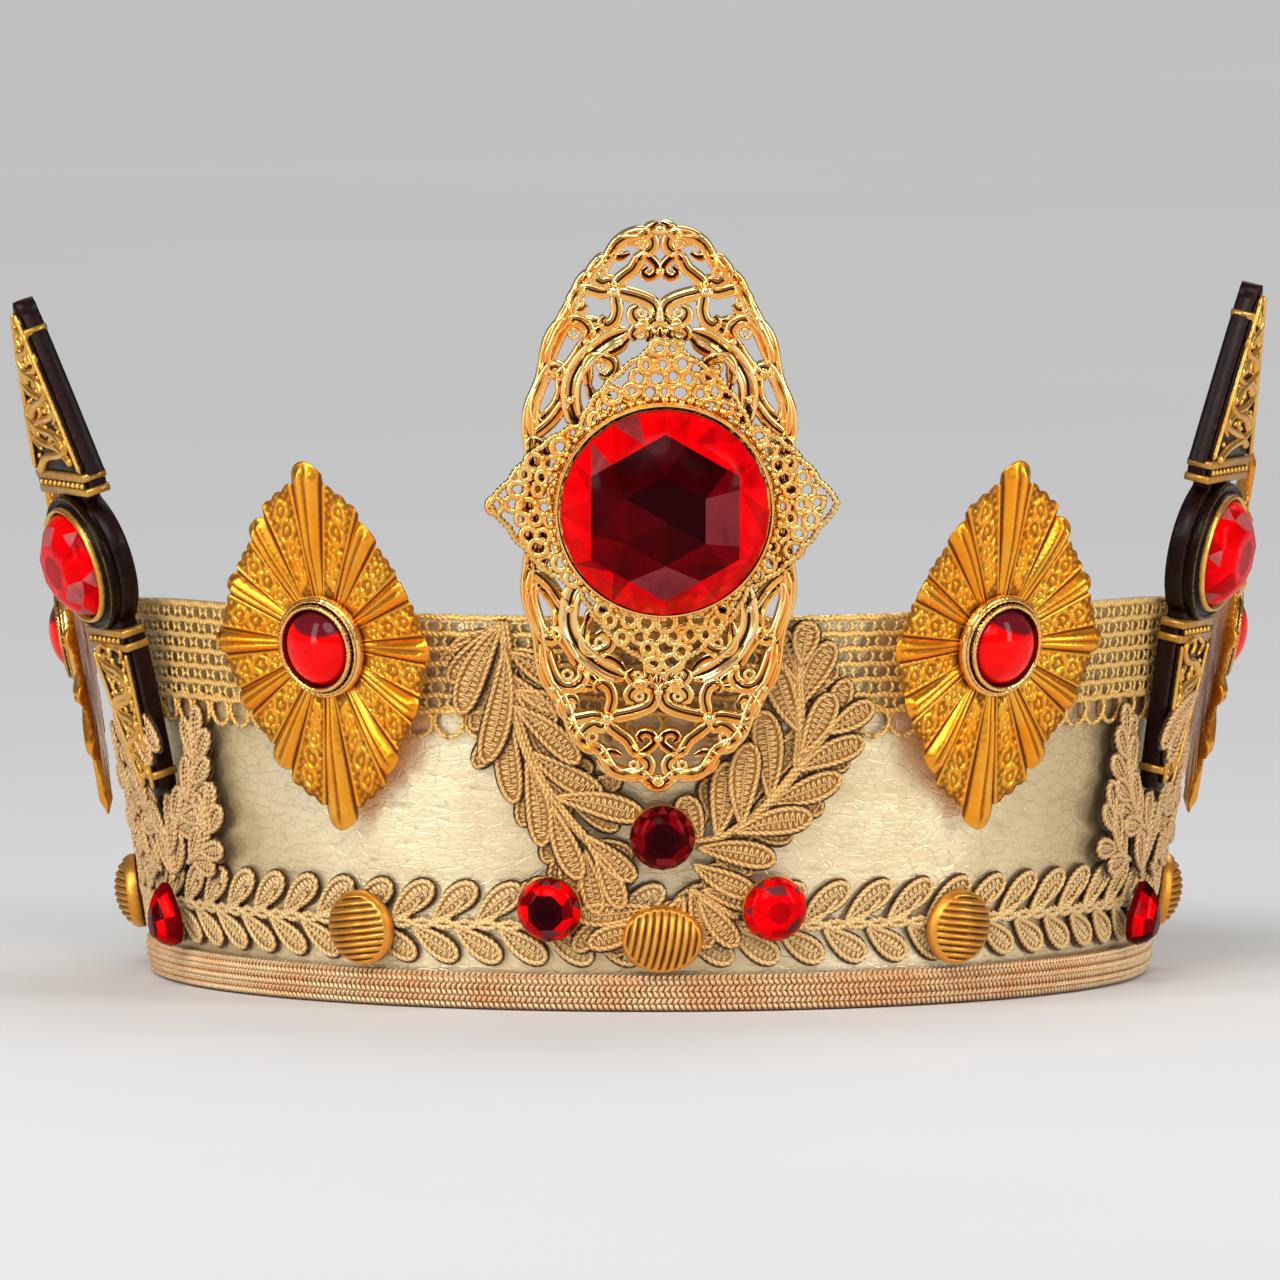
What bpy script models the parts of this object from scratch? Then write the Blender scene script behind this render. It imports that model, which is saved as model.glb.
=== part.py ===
"""A jewelled costume crown.

A flared oval band carries leather, woven trims, pressed metal plates, two tall
spires and a large faceted gem on an openwork oval. Metres, +Z up, the wearer
looks along -Y, and the crown stands on its bottom braid at z = 0.
"""

import math

import bmesh
import bpy
from mathutils import Matrix, Vector

MM = 0.001

# The band: an oval cone, narrowest at the bottom.
HALF_WIDTH = 81.6 * MM        # leather face at z = 0, measured to the side
OVAL = 1.10                   # front-to-back size over side-to-side size
FLARE = math.tan(math.radians(8.5))
BAND_HEIGHT = 64.6 * MM
BACK_DROP = 18.0 * MM         # how much lower the top edge runs behind
DROP_FROM = math.radians(55)  # where the top edge begins to fall
RING_STEPS = 72
GAP = 0.3 * MM

# Layers, as offsets from the leather's face.
TRIM_FACE = 1.5 * MM
TRIM_THICKNESS = 1.1 * MM
LACE_BACK = 1.8 * MM
LACE_THICKNESS = 1.0 * MM
STONE_BACK = 3.1 * MM

BRAID_TOP = 6.1 * MM
VINE_TOP = 22.0 * MM
LADDER_WIDTH = 20.2 * MM

# Where the ornaments stand, as angles round the band from the front.
SIDE_PLATE = math.radians(35.7)
SPIRES = {"left": math.radians(-65.0), "right": math.radians(66.9)}
SIDE_DROP = math.radians(67.0)
SIDE_BUTTON = math.radians(34.7)
REAR_PLATE = math.radians(94.0)
SIDE_STONE = math.radians(12.15)

# The front plaque.
PLAQUE_Z = 84.0 * MM
PLAQUE_LEAN = math.radians(10)
PLAQUE_BACK = 4.6 * MM
PLAQUE_BEND = 150 * MM
OVAL_HALF_WIDTH = 22.35 * MM
OVAL_HALF_HEIGHT = 47.8 * MM
OVAL_THICKNESS = 1.2 * MM
STAR_THICKNESS = 1.0 * MM
GEM_RADIUS = 17.0 * MM

# The pleated plates.
PLATE_HALF_WIDTH = 22.0 * MM
PLATE_HALF_HEIGHT = 31.0 * MM
PLATE_RAYS = 26
PLATE_THICKNESS = 0.9 * MM
PLATE_LEAN = math.radians(10)
PLATE_FACE = 3.6 * MM
REAR_PLATE_FACE = 5.4 * MM
BEZEL_RADIUS = 8.25 * MM
CABOCHON_RADIUS = 6.5 * MM

# The spires.
SPIRE_FOOT_Z = 33.0 * MM
SPIRE_BACK = 1.3 * MM
SPIRE_LEANS = {"left": math.radians(17.0), "right": math.radians(11.6)}
BOARD_THICKNESS = 3.4 * MM
MEDALLION_RADIUS = 11.5 * MM
MEDALLION_Y = 41.1 * MM
SPIRE_GEM_RADIUS = 9.0 * MM

for old in list(bpy.data.objects):
    bpy.data.objects.remove(old, do_unlink=True)

crown = bpy.data.collections.new("crown")
bpy.context.scene.collection.children.link(crown)
stand = bpy.data.objects.new("crown_origin", None)
crown.objects.link(stand)


# ---------------------------------------------------------------- materials


def finish(name, colour, metallic, roughness):
    made = bpy.data.materials.new(name)
    made.use_nodes = True
    shader = made.node_tree.nodes["Principled BSDF"]
    shader.inputs["Base Color"].default_value = (*colour, 1)
    shader.inputs["Metallic"].default_value = metallic
    shader.inputs["Roughness"].default_value = roughness
    made.diffuse_color = (*colour, 1)
    return made


FELT = finish("lining_felt", (0.62, 0.52, 0.36), 0.0, 0.9)
BOARD = finish("stiff_board", (0.45, 0.38, 0.28), 0.0, 0.8)
LEATHER = finish("gold_leather", (0.72, 0.62, 0.42), 0.6, 0.45)
BRAID = finish("rose_gold_braid", (0.70, 0.42, 0.24), 0.5, 0.5)
THREAD = finish("gold_thread", (0.70, 0.54, 0.30), 0.4, 0.6)
BRIGHT_GOLD = finish("bright_gold", (0.95, 0.66, 0.25), 1.0, 0.15)
PRESSED_GOLD = finish("pressed_gold", (0.80, 0.50, 0.12), 1.0, 0.32)
ANTIQUE_GOLD = finish("antique_gold", (0.52, 0.35, 0.12), 1.0, 0.4)
BUTTON_GOLD = finish("button_gold", (0.66, 0.42, 0.16), 0.8, 0.45)
DARK_BOARD = finish("dark_board", (0.05, 0.02, 0.012), 0.0, 0.35)
RUBY = finish("ruby_acrylic", (0.75, 0.0, 0.01), 0.0, 0.05)


# ------------------------------------------------------------------ helpers


def rim_drop(t):
    """How far the top edge has fallen at the angle t from the front."""
    share = (abs(t) - DROP_FROM) / (math.pi - DROP_FROM)
    share = min(max(share, 0.0), 1.0)
    return BACK_DROP * share * share * (3 - 2 * share)


def wrap(t, z, offset):
    """A point at the angle t and height z, standing off the leather's face."""
    half = HALF_WIDTH + FLARE * z + offset
    return Vector((half * math.sin(t), -OVAL * half * math.cos(t), z))


def station(t, z, offset, lean):
    """A frame on the band: X along it, Y up the lean and Z facing out."""
    facing = math.atan2(OVAL * math.sin(t), math.cos(t))
    turn = Matrix.Rotation(facing, 4, "Z")
    tip = Matrix.Rotation(math.pi / 2 + lean, 4, "X")
    return Matrix.Translation(wrap(t, z, offset)) @ turn @ tip


def place(obj, material, matrix=None, smooth=None):
    """Links an object, gives it its finish, and stands it on the crown."""
    crown.objects.link(obj)
    obj.data.materials.clear()
    obj.data.materials.append(material)
    obj.parent = stand
    if matrix is not None:
        obj.matrix_local = matrix
    if smooth is not None:
        obj.data.shade_smooth()
        obj.data.set_sharp_from_angle(angle=math.radians(smooth))
    return obj


def to_object(name, bm):
    mesh = bpy.data.meshes.new(name)
    bm.to_mesh(mesh)
    bm.free()
    return bpy.data.objects.new(name, mesh)


def slab(name, outline, thickness, holes=()):
    """A flat outline with square edges, its back on z = 0."""
    curve = bpy.data.curves.new(name + "_outline", "CURVE")
    curve.dimensions = "2D"
    curve.fill_mode = "BOTH"
    curve.extrude = thickness / 2
    for loop in (outline, *holes):
        spline = curve.splines.new("POLY")
        spline.points.add(len(loop) - 1)
        for point, (x, y) in zip(spline.points, loop):
            point.co = (x, y, 0, 1)
        spline.use_cyclic_u = True
    guide = bpy.data.objects.new(name + "_guide", curve)
    bpy.context.scene.collection.objects.link(guide)
    bpy.context.view_layer.update()
    graph = bpy.context.evaluated_depsgraph_get()
    mesh = bpy.data.meshes.new_from_object(guide.evaluated_get(graph))
    bpy.data.objects.remove(guide, do_unlink=True)
    bm = bmesh.new()
    bm.from_mesh(mesh)
    bpy.data.meshes.remove(mesh)
    bmesh.ops.remove_doubles(bm, verts=bm.verts, dist=0.00001)
    bmesh.ops.translate(bm, verts=bm.verts, vec=(0, 0, thickness / 2))
    bmesh.ops.recalc_face_normals(bm, faces=bm.faces)
    return bm


def slice_across(bm, positions):
    """Cuts edges into a slab at each x, so that it can bend there."""
    for x in positions:
        everything = bm.verts[:] + bm.edges[:] + bm.faces[:]
        bmesh.ops.bisect_plane(
            bm, geom=everything, dist=0.000001, plane_co=(x, 0, 0), plane_no=(1, 0, 0)
        )


def bend(bm, radius):
    """Rolls a slab back about an upright axis behind it."""
    for vert in bm.verts:
        angle = vert.co.x / radius
        reach = radius + vert.co.z
        vert.co.x = reach * math.sin(angle)
        vert.co.z = reach * math.cos(angle) - radius


def turned(name, profile, steps, closed=False):
    """A Screw about Z of (radius, height) pairs, from the top round to the bottom."""
    bm = bmesh.new()
    verts = [bm.verts.new((r, 0, z)) for r, z in profile]
    for a, b in zip(verts, verts[1:]):
        bm.edges.new((a, b))
    if closed:
        bm.edges.new((verts[-1], verts[0]))
    obj = to_object(name, bm)
    screw = obj.modifiers.new("turn", "SCREW")
    screw.steps = steps
    screw.render_steps = steps
    screw.use_merge_vertices = True
    screw.merge_threshold = 0.00001
    return obj


def ring_of_points(count, radius, z, phase=0.0):
    step = 2 * math.pi / count
    return [
        (radius * math.sin(phase + i * step), radius * math.cos(phase + i * step), z)
        for i in range(count)
    ]


def cut_stone(name, points):
    """A stone with flat facets: the hull of its corners."""
    bm = bmesh.new()
    for point in points:
        bm.verts.new(point)
    found = bmesh.ops.convex_hull(bm, input=bm.verts)
    unused = [item for item in found["geom_interior"] if isinstance(item, bmesh.types.BMVert)]
    bmesh.ops.delete(bm, geom=unused, context="VERTS")
    bmesh.ops.recalc_face_normals(bm, faces=bm.faces)
    return to_object(name, bm)


# ------------------------------------------------------------ band and trims


def band_ring(name, bottom, top, offset, thickness, material):
    """A closed strip round the band. bottom and top give its edges at an angle."""
    bm = bmesh.new()
    bmesh.ops.create_grid(bm, x_segments=RING_STEPS, y_segments=1, size=1)
    for vert in bm.verts:
        t = vert.co.x * math.pi
        share = (vert.co.y + 1) / 2
        z = bottom(t) + (top(t) - bottom(t)) * share
        vert.co = wrap(t, z, offset)
    bmesh.ops.remove_doubles(bm, verts=bm.verts, dist=0.00001)
    obj = place(to_object(name, bm), material, smooth=30)
    shell = obj.modifiers.new("thickness", "SOLIDIFY")
    shell.thickness = thickness
    shell.offset = -1
    return obj


def rim(lower):
    """The top edge's height, less a constant."""
    return lambda t: BAND_HEIGHT - rim_drop(t) - lower


def level(z):
    return lambda t: z


def base_braid():
    """The thick braid along the bottom edge, with a flat underside to stand on."""
    inside = HALF_WIDTH + GAP + 0.1 * MM
    outside = HALF_WIDTH + 1.9 * MM
    profile = [
        (inside + FLARE * BRAID_TOP, BRAID_TOP),
        (outside - 0.6 * MM + FLARE * BRAID_TOP, BRAID_TOP),
        (outside + FLARE * 4.6 * MM, 4.6 * MM),
        (outside, 1.4 * MM),
        (outside - 0.4 * MM, 0),
        (inside, 0),
    ]
    obj = place(turned("base_braid", profile, RING_STEPS, closed=True), BRAID, smooth=40)
    obj.scale = (1, OVAL, 1)
    return obj


band_ring("lining", level(0.6 * MM), rim(0.4 * MM), -3.6 * MM, 0.6 * MM, FELT)
band_ring("band_core", level(0.6 * MM), rim(0.4 * MM), -1.2 * MM, 2.0 * MM, BOARD)
band_ring("leather_cover", level(0.6 * MM), rim(0), 0, 0.8 * MM, LEATHER)
base_braid()
band_ring("vine_trim", level(6.5 * MM), level(VINE_TOP), TRIM_FACE, TRIM_THICKNESS, THREAD)
band_ring(
    "ladder_trim", rim(LADDER_WIDTH + 0.2 * MM), rim(0.2 * MM), TRIM_FACE, TRIM_THICKNESS, THREAD
)


def lace_piece(name, outline, material=THREAD):
    """A lace motif. Its outline is in degrees round the band and mm of height."""
    bm = slab(name, [(t * MM, z * MM) for t, z in outline], LACE_THICKNESS)
    first = min(t for t, z in outline)
    last = max(t for t, z in outline)
    step = 360 / RING_STEPS
    cuts = range(math.ceil(first / step), math.floor(last / step) + 1)
    slice_across(bm, [k * step * MM for k in cuts])
    for vert in bm.verts:
        t = math.radians(vert.co.x / MM)
        vert.co = wrap(t, vert.co.y, LACE_BACK + vert.co.z)
    return place(to_object(name, bm), material)


def mirrored(outline):
    return [(-t, z) for t, z in reversed(outline)]


# The two sprays that rise from the front and part round the plaque.
SPRAY_LEFT = [
    (-16.8, 66.0), (-20.0, 60.0), (-22.5, 51.0), (-21.0, 42.0), (-17.5, 34.0),
    (-15.0, 27.5), (-9.0, 20.0), (-3.0, 18.3), (-2.6, 24.0), (-3.5, 32.0),
    (-5.5, 40.0), (-8.0, 48.0), (-11.0, 56.0), (-14.5, 63.0),
]
SPRAY_RIGHT = [
    (2.6, 18.3), (9.0, 20.0), (15.0, 25.0), (18.5, 33.0), (20.0, 42.0),
    (20.5, 52.0), (18.8, 60.0), (14.6, 62.5), (12.0, 56.0), (9.0, 48.0),
    (6.0, 40.0), (3.5, 32.0),
]
# A branching column of leaves whose fork takes the foot of the spire.
# Its angles are counted from the spire's own.
SIDE_LACE = [
    (-6.0, 17.0), (6.0, 17.0), (11.0, 23.0), (18.0, 30.0), (21.5, 40.0),
    (18.0, 47.5), (12.0, 48.0), (7.5, 47.0), (6.6, 40.0), (4.5, 32.5),
    (0.0, 29.5), (-4.5, 32.5), (-6.6, 40.0), (-7.5, 46.0), (-11.0, 48.0),
    (-13.5, 42.0), (-14.0, 34.0), (-11.5, 24.0),
]
lace_piece("front_spray_left", SPRAY_LEFT)
lace_piece("front_spray_right", SPRAY_RIGHT)
for side_name, lace_outline in (("left", mirrored(SIDE_LACE)), ("right", SIDE_LACE)):
    middle = math.degrees(SPIRES[side_name])
    lace_piece("side_lace_" + side_name, [(t + middle, z) for t, z in lace_outline])


# ------------------------------------------------------------- front plaque


def oval_reach(share, rise=1.5, shoulder=0.25):
    """The plaque's half width, as a share of its greatest, at this share of its height."""
    past = max(0.0, (abs(share) - shoulder) / (1 - shoulder))
    return max(0.0, 1 - past**rise) ** (1 / rise)


def oval_outline(inset=0.0, samples=14):
    """Half heights on a cosine spacing keep the two tips round."""
    height = OVAL_HALF_HEIGHT - inset
    width = OVAL_HALF_WIDTH - inset
    right = []
    for i in range(samples + 1):
        share = math.cos(math.pi * i / samples)
        right.append((width * oval_reach(share), height * share))
    left = [(-x, y) for x, y in reversed(right[1:-1])]
    return right + left


def window(x0, y0, half_width, half_height, turn=0.0, count=10):
    """A rounded opening in the openwork."""
    points = []
    for i in range(count):
        angle = 2 * math.pi * i / count
        x = half_width * math.cos(angle)
        y = half_height * math.sin(angle)
        points.append(
            (
                x0 + x * math.cos(turn) - y * math.sin(turn),
                y0 + x * math.sin(turn) + y * math.cos(turn),
            )
        )
    return points


def plaque_windows():
    """Openings between the scrolls, the same above and below and left and right."""
    openings = []
    for up in (-1, 1):
        openings.append(window(0, up * 31.8 * MM, 4.2 * MM, 3.2 * MM))
        openings.append(window(0, up * 41.5 * MM, 1.8 * MM, 1.8 * MM))
        for side in (-1, 1):
            tilt = -side * up * 0.9
            openings.append(
                window(side * 6.2 * MM, up * 38.0 * MM, 3.2 * MM, 1.9 * MM, tilt)
            )
            openings.append(
                window(side * 10.8 * MM, up * 30.6 * MM, 2.4 * MM, 3.6 * MM, -tilt)
            )
            openings.append(
                window(side * 16.2 * MM, up * 22.0 * MM, 2.0 * MM, 4.8 * MM, side * up * 0.25)
            )
    return openings


def plaque_station(standoff):
    frame = station(0, PLAQUE_Z, PLAQUE_BACK, PLAQUE_LEAN)
    return frame @ Matrix.Translation((0, 0, standoff))


def filigree_oval():
    bm = slab("filigree_oval", oval_outline(), OVAL_THICKNESS, plaque_windows())
    slice_across(bm, [x * MM for x in (-15, -7.5, 0, 7.5, 15)])
    bend(bm, PLAQUE_BEND)
    return place(to_object("filigree_oval", bm), BRIGHT_GOLD, plaque_station(0))


def filigree_star():
    """Four pointed lobes of fine net round the gem."""
    outline = []
    for i in range(48):
        angle = 2 * math.pi * i / 48
        lobe = abs(1 - (i % 12) / 6)
        reach = (19.4 + 8.4 * lobe) * MM
        outline.append((reach * math.cos(angle), reach * math.sin(angle)))
    hole = window(0, 0, 11 * MM, 11 * MM, count=20)
    bm = slab("filigree_star", outline, STAR_THICKNESS, [hole])
    slice_across(bm, [x * MM for x in (-22.5, -15, -7.5, 0, 7.5, 15, 22.5)])
    bend(bm, PLAQUE_BEND + OVAL_THICKNESS + GAP)
    frame = plaque_station(OVAL_THICKNESS + GAP)
    return place(to_object("filigree_star", bm), BRIGHT_GOLD, frame)


def gem_cup():
    """The shallow cup that grips the gem's edge."""
    inner = GEM_RADIUS + GAP
    outer = inner + 0.6 * MM
    profile = [
        (0, 0.8 * MM),
        (inner, 0.8 * MM),
        (inner, 3.0 * MM),
        (outer, 3.0 * MM),
        (outer, 0),
        (0, 0),
    ]
    frame = plaque_station(OVAL_THICKNESS + STAR_THICKNESS + 2 * GAP)
    return place(turned("gem_cup", profile, 32), BRIGHT_GOLD, frame, smooth=40)


def front_gem():
    """A rose cut: a girdle, a wide six-sided step and a smaller one on top."""
    points = ring_of_points(24, 16.9 * MM, 0)
    points += ring_of_points(24, GEM_RADIUS, 1.0 * MM)
    points += ring_of_points(24, GEM_RADIUS, 2.6 * MM)
    points += ring_of_points(6, 14.2 * MM, 6.2 * MM)
    points += ring_of_points(6, 7.4 * MM, 8.4 * MM)
    frame = plaque_station(OVAL_THICKNESS + STAR_THICKNESS + 3 * GAP + 0.8 * MM)
    return place(cut_stone("front_gem", points), RUBY, frame)


filigree_oval()
filigree_star()
gem_cup()
front_gem()


# -------------------------------------------------------- stones and buttons


def rhinestone(name, t, z):
    """A flat-backed round stone with an eight-sided table."""
    points = ring_of_points(16, 5.1 * MM, 0)
    points += ring_of_points(16, 5.35 * MM, 0.9 * MM)
    points += ring_of_points(8, 3.1 * MM, 3.4 * MM, math.pi / 8)
    stone = cut_stone(name, points)
    return place(stone, RUBY, station(t, z, STONE_BACK, math.atan(FLARE)))


def ribbed_button(name, t, z, half_width, half_height):
    profile = [(0, 4.4), (0.57, 3.9), (0.89, 2.4), (1.0, 0.7), (0.97, 0), (0, 0)]
    sized = [(r * half_width, h * MM) for r, h in profile]
    frame = station(t, z, LACE_BACK, math.atan(FLARE))
    squash = Matrix.Diagonal((1, half_height / half_width, 1, 1))
    button = place(turned(name, sized, 20), BUTTON_GOLD, frame @ squash, smooth=30)
    return button


def teardrop(name, t, z):
    """A flat-backed drop with its point up."""
    points = []
    for size, height in ((0.92, 0), (1.0, 1.4), (0.55, 4.0)):
        for i in range(14):
            angle = 2 * math.pi * i / 14
            width = 5.2 * MM * math.sin(angle) * abs(math.sin(angle / 2))
            points.append(
                (
                    size * width,
                    size * (5.5 * MM * math.cos(angle) + 1.2 * MM) - 1.2 * MM,
                    height * MM,
                )
            )
    return place(cut_stone(name, points), RUBY, station(t, z, STONE_BACK, math.atan(FLARE)))


rhinestone("rhinestone_top", 0, 29 * MM)
rhinestone("rhinestone_left", -SIDE_STONE, 17 * MM)
rhinestone("rhinestone_right", SIDE_STONE, 17 * MM)
ribbed_button("button_front", 0, 12.2 * MM, 6.75 * MM, 5.6 * MM)
for side_name, side in (("left", -1), ("right", 1)):
    t_side = side * SIDE_BUTTON
    t_rear = side * REAR_PLATE
    ribbed_button("button_" + side_name, t_side, 12.9 * MM, 6.3 * MM, 6.3 * MM)
    ribbed_button("button_rear_" + side_name, t_rear, 12.9 * MM, 6.3 * MM, 6.3 * MM)
    teardrop("teardrop_" + side_name, side * SIDE_DROP, 12.2 * MM)


# ----------------------------------------------------------- pleated plates


def plate_reach(angle, power=1.3):
    """The distance from the middle to the diamond's edge in this direction."""
    x = abs(math.sin(angle)) / PLATE_HALF_WIDTH
    y = abs(math.cos(angle)) / PLATE_HALF_HEIGHT
    return (x**power + y**power) ** (-1 / power)


def pleated_plate(name, frame):
    """A diamond of pleats that fan out from a flat middle."""
    count = 2 * PLATE_RAYS
    bm = bmesh.new()
    bmesh.ops.create_circle(bm, segments=count, radius=BEZEL_RADIUS, cap_ends=True)
    rim_edges = [edge for edge in bm.edges if edge.is_boundary]
    grown = bmesh.ops.extrude_edge_only(bm, edges=rim_edges)["geom"]
    outer = [item for item in grown if isinstance(item, bmesh.types.BMVert)]
    for vert in outer:
        angle = math.atan2(vert.co.x, vert.co.y)
        ray = round(angle / (2 * math.pi) * count)
        ridge = ray % 2 == 0
        reach = plate_reach(angle) * (1.0 if ridge else 0.955)
        vert.co = (
            reach * math.sin(angle),
            reach * math.cos(angle),
            0.3 * MM if ridge else -0.5 * MM,
        )
    bmesh.ops.recalc_face_normals(bm, faces=bm.faces)
    if max(bm.faces, key=lambda face: len(face.verts)).normal.z < 0:
        bmesh.ops.reverse_faces(bm, faces=bm.faces)
    obj = place(to_object(name, bm), PRESSED_GOLD, frame)
    shell = obj.modifiers.new("thickness", "SOLIDIFY")
    shell.thickness = PLATE_THICKNESS
    shell.offset = -1
    return obj


def sunburst(side_name, t, z, face):
    """A pleated plate with its bezel and its domed stone."""
    frame = station(t, z, face, PLATE_LEAN)
    pleated_plate("sunburst_" + side_name, frame)
    bore = CABOCHON_RADIUS + GAP
    profile = [
        (bore, 2.2 * MM),
        (bore + 0.5 * MM, 2.4 * MM),
        (BEZEL_RADIUS - 0.3 * MM, 1.4 * MM),
        (BEZEL_RADIUS, 0),
        (bore, 0),
    ]
    seat = frame @ Matrix.Translation((0, 0, GAP))
    ring = turned("bezel_" + side_name, profile, 24, closed=True)
    place(ring, PRESSED_GOLD, seat, smooth=40)
    dome = [(0, 5.0), (0.52, 4.3), (0.83, 2.7), (1.0, 0.8), (1.0, 0), (0, 0)]
    stone = turned("cabochon_" + side_name, [(r * CABOCHON_RADIUS, h * MM) for r, h in dome], 20)
    place(stone, RUBY, seat, smooth=40)


for side_name, side in (("left", -1), ("right", 1)):
    sunburst("front_" + side_name, side * SIDE_PLATE, 59.6 * MM, PLATE_FACE)
    sunburst("rear_" + side_name, side * REAR_PLATE, 56.2 * MM, REAR_PLATE_FACE)


# ------------------------------------------------------------------- spires


def lower_blade_half(y):
    """A slender leaf that widens upwards from a round foot."""
    if y < 3.2:
        return 3.2 * math.sqrt(max(0.0, 1 - (1 - y / 3.2) ** 2))
    return 3.2 + (7.6 - 3.2) * ((y - 3.2) / 22.6) ** 0.8


def upper_blade_half(y):
    """A spear point, broad at its foot."""
    share = (85.0 - y) / (85.0 - 57.0)
    return 0.9 + 9.4 * max(0.0, share) ** 0.9


def medallion_half(y):
    reach = 11.9
    past = y - MEDALLION_Y / MM
    return math.sqrt(max(0.0, reach * reach - past * past))


def board_half(y):
    """The silhouette of the whole spire, as a half width at a height."""
    if y <= 25.8:
        return lower_blade_half(y)
    if y <= 29.4:
        return 7.8
    if y < 52.9:
        return max(medallion_half(y), 5.5)
    if y <= 56.2:
        return 10.0
    return upper_blade_half(y)


def outline_from_halves(half, heights, inset=0.0):
    """Both sides of a symmetric outline, in metres."""
    right = [((half(y) - inset) * MM, y * MM) for y in heights]
    left = [(-x, y) for x, y in reversed(right) if x > 0.02 * MM]
    right = [(max(x, 0.0), y) for x, y in right]
    return right + left


def spread(first, last, count):
    return [first + (last - first) * i / (count - 1) for i in range(count)]


def spire(side_name):
    """A dark board with cast plates and a stone set on its face."""
    frame = station(SPIRES[side_name], SPIRE_FOOT_Z, SPIRE_BACK, SPIRE_LEANS[side_name])
    heights = [0.0, 0.5, 1.6, 3.2, 9.0, 15.0, 21.0, 25.8, 25.9, 29.4, 29.8, 31.0, 33.5]
    heights += [37.0, 41.1, 45.2, 48.7, 51.2, 52.6, 52.9, 56.2, 56.3, 57.0, 63.0]
    heights += [70.0, 77.0, 82.0, 85.0]
    bm = slab("board", outline_from_halves(board_half, heights), BOARD_THICKNESS)
    place(to_object("spire_board_" + side_name, bm), DARK_BOARD, frame)

    face = frame @ Matrix.Translation((0, 0, BOARD_THICKNESS + GAP))
    foot = outline_from_halves(lower_blade_half, [1.2, 3.2, 9, 15, 21, 25.4], 0.5)
    foot_plate = to_object("spire_foot_plate_" + side_name, slab("foot", foot, 1.1 * MM))
    place(foot_plate, ANTIQUE_GOLD, face)
    point = outline_from_halves(upper_blade_half, [57.0, 63.0, 70.0, 77.0, 82.0, 84.4], 0.5)
    point_plate = to_object("spire_point_plate_" + side_name, slab("point", point, 1.1 * MM))
    place(point_plate, ANTIQUE_GOLD, face)
    for part, y0, y1, half in (("lower", 25.9, 28.9, 7.6), ("upper", 53.3, 56.4, 9.6)):
        corners = ((half, y0), (half, y1), (-half, y1), (-half, y0))
        bar = slab("collar", [(x * MM, y * MM) for x, y in corners], 1.8 * MM)
        collar = to_object("spire_" + part + "_collar_" + side_name, bar)
        place(collar, ANTIQUE_GOLD, face)

    bore = SPIRE_GEM_RADIUS + GAP
    profile = [
        (0, 1.2 * MM),
        (bore, 1.2 * MM),
        (bore, 2.6 * MM),
        (MEDALLION_RADIUS - 0.6 * MM, 2.6 * MM),
        (MEDALLION_RADIUS, 1.6 * MM),
        (MEDALLION_RADIUS, 0),
        (0, 0),
    ]
    centre = face @ Matrix.Translation((0, MEDALLION_Y, 0))
    place(turned("spire_medallion_" + side_name, profile, 24), ANTIQUE_GOLD, centre, smooth=40)

    points = ring_of_points(16, 8.6 * MM, 0)
    points += ring_of_points(16, SPIRE_GEM_RADIUS, 1.2 * MM)
    points += ring_of_points(8, 5.0 * MM, 5.0 * MM, math.pi / 8)
    seat = centre @ Matrix.Translation((0, 0, 1.2 * MM + GAP))
    place(cut_stone("spire_gem_" + side_name, points), RUBY, seat)


spire("left")
spire("right")


# ---------------------------------------- put the middle of the base at the origin

bpy.context.view_layer.update()
graph = bpy.context.evaluated_depsgraph_get()
corners = []
for item in crown.objects:
    if item.type == "MESH":
        seen = item.evaluated_get(graph)
        corners += [seen.matrix_world @ vert.co for vert in seen.data.vertices]
stand.location = (
    -(min(c.x for c in corners) + max(c.x for c in corners)) / 2,
    -(min(c.y for c in corners) + max(c.y for c in corners)) / 2,
    -min(c.z for c in corners),
)
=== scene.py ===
"""Looks for a jewelled costume crown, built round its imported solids."""

import math

import bpy
import numpy as np
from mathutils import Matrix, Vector, noise


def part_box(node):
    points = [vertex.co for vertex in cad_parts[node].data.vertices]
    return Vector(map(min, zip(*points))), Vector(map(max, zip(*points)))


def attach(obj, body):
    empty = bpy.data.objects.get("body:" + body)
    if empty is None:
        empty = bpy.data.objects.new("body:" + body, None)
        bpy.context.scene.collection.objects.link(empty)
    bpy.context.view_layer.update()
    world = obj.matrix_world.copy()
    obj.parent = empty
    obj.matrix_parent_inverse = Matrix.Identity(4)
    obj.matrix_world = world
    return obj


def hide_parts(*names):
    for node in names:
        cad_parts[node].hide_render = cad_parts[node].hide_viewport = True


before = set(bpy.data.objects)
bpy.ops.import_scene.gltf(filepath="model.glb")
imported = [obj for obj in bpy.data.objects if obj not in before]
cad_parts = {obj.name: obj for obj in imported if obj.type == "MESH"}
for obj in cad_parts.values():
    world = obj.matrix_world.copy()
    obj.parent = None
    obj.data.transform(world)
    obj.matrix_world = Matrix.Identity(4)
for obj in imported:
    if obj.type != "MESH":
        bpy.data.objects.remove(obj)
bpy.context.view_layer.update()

MM = 0.001
TAU = 2 * math.pi

# The band, as the solids have it: an oval cone about its own upright axis. In mm.
HALF_WIDTH = 81.6
OVAL = 1.10
FLARE = math.tan(math.radians(8.5))
LEAN = math.degrees(math.atan(FLARE))
BAND_HEIGHT = 64.6
BACK_DROP = 18.0
DROP_FROM = math.radians(55)
MIDDLE_HEIGHT = 30

braid_low, braid_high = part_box("base_braid")
CX = (braid_low.x + braid_high.x) / 2 / MM
CY = (braid_low.y + braid_high.y) / 2 / MM


# --- surfaces. Each turns (across, up, out) in mm into points and outward normals.


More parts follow.
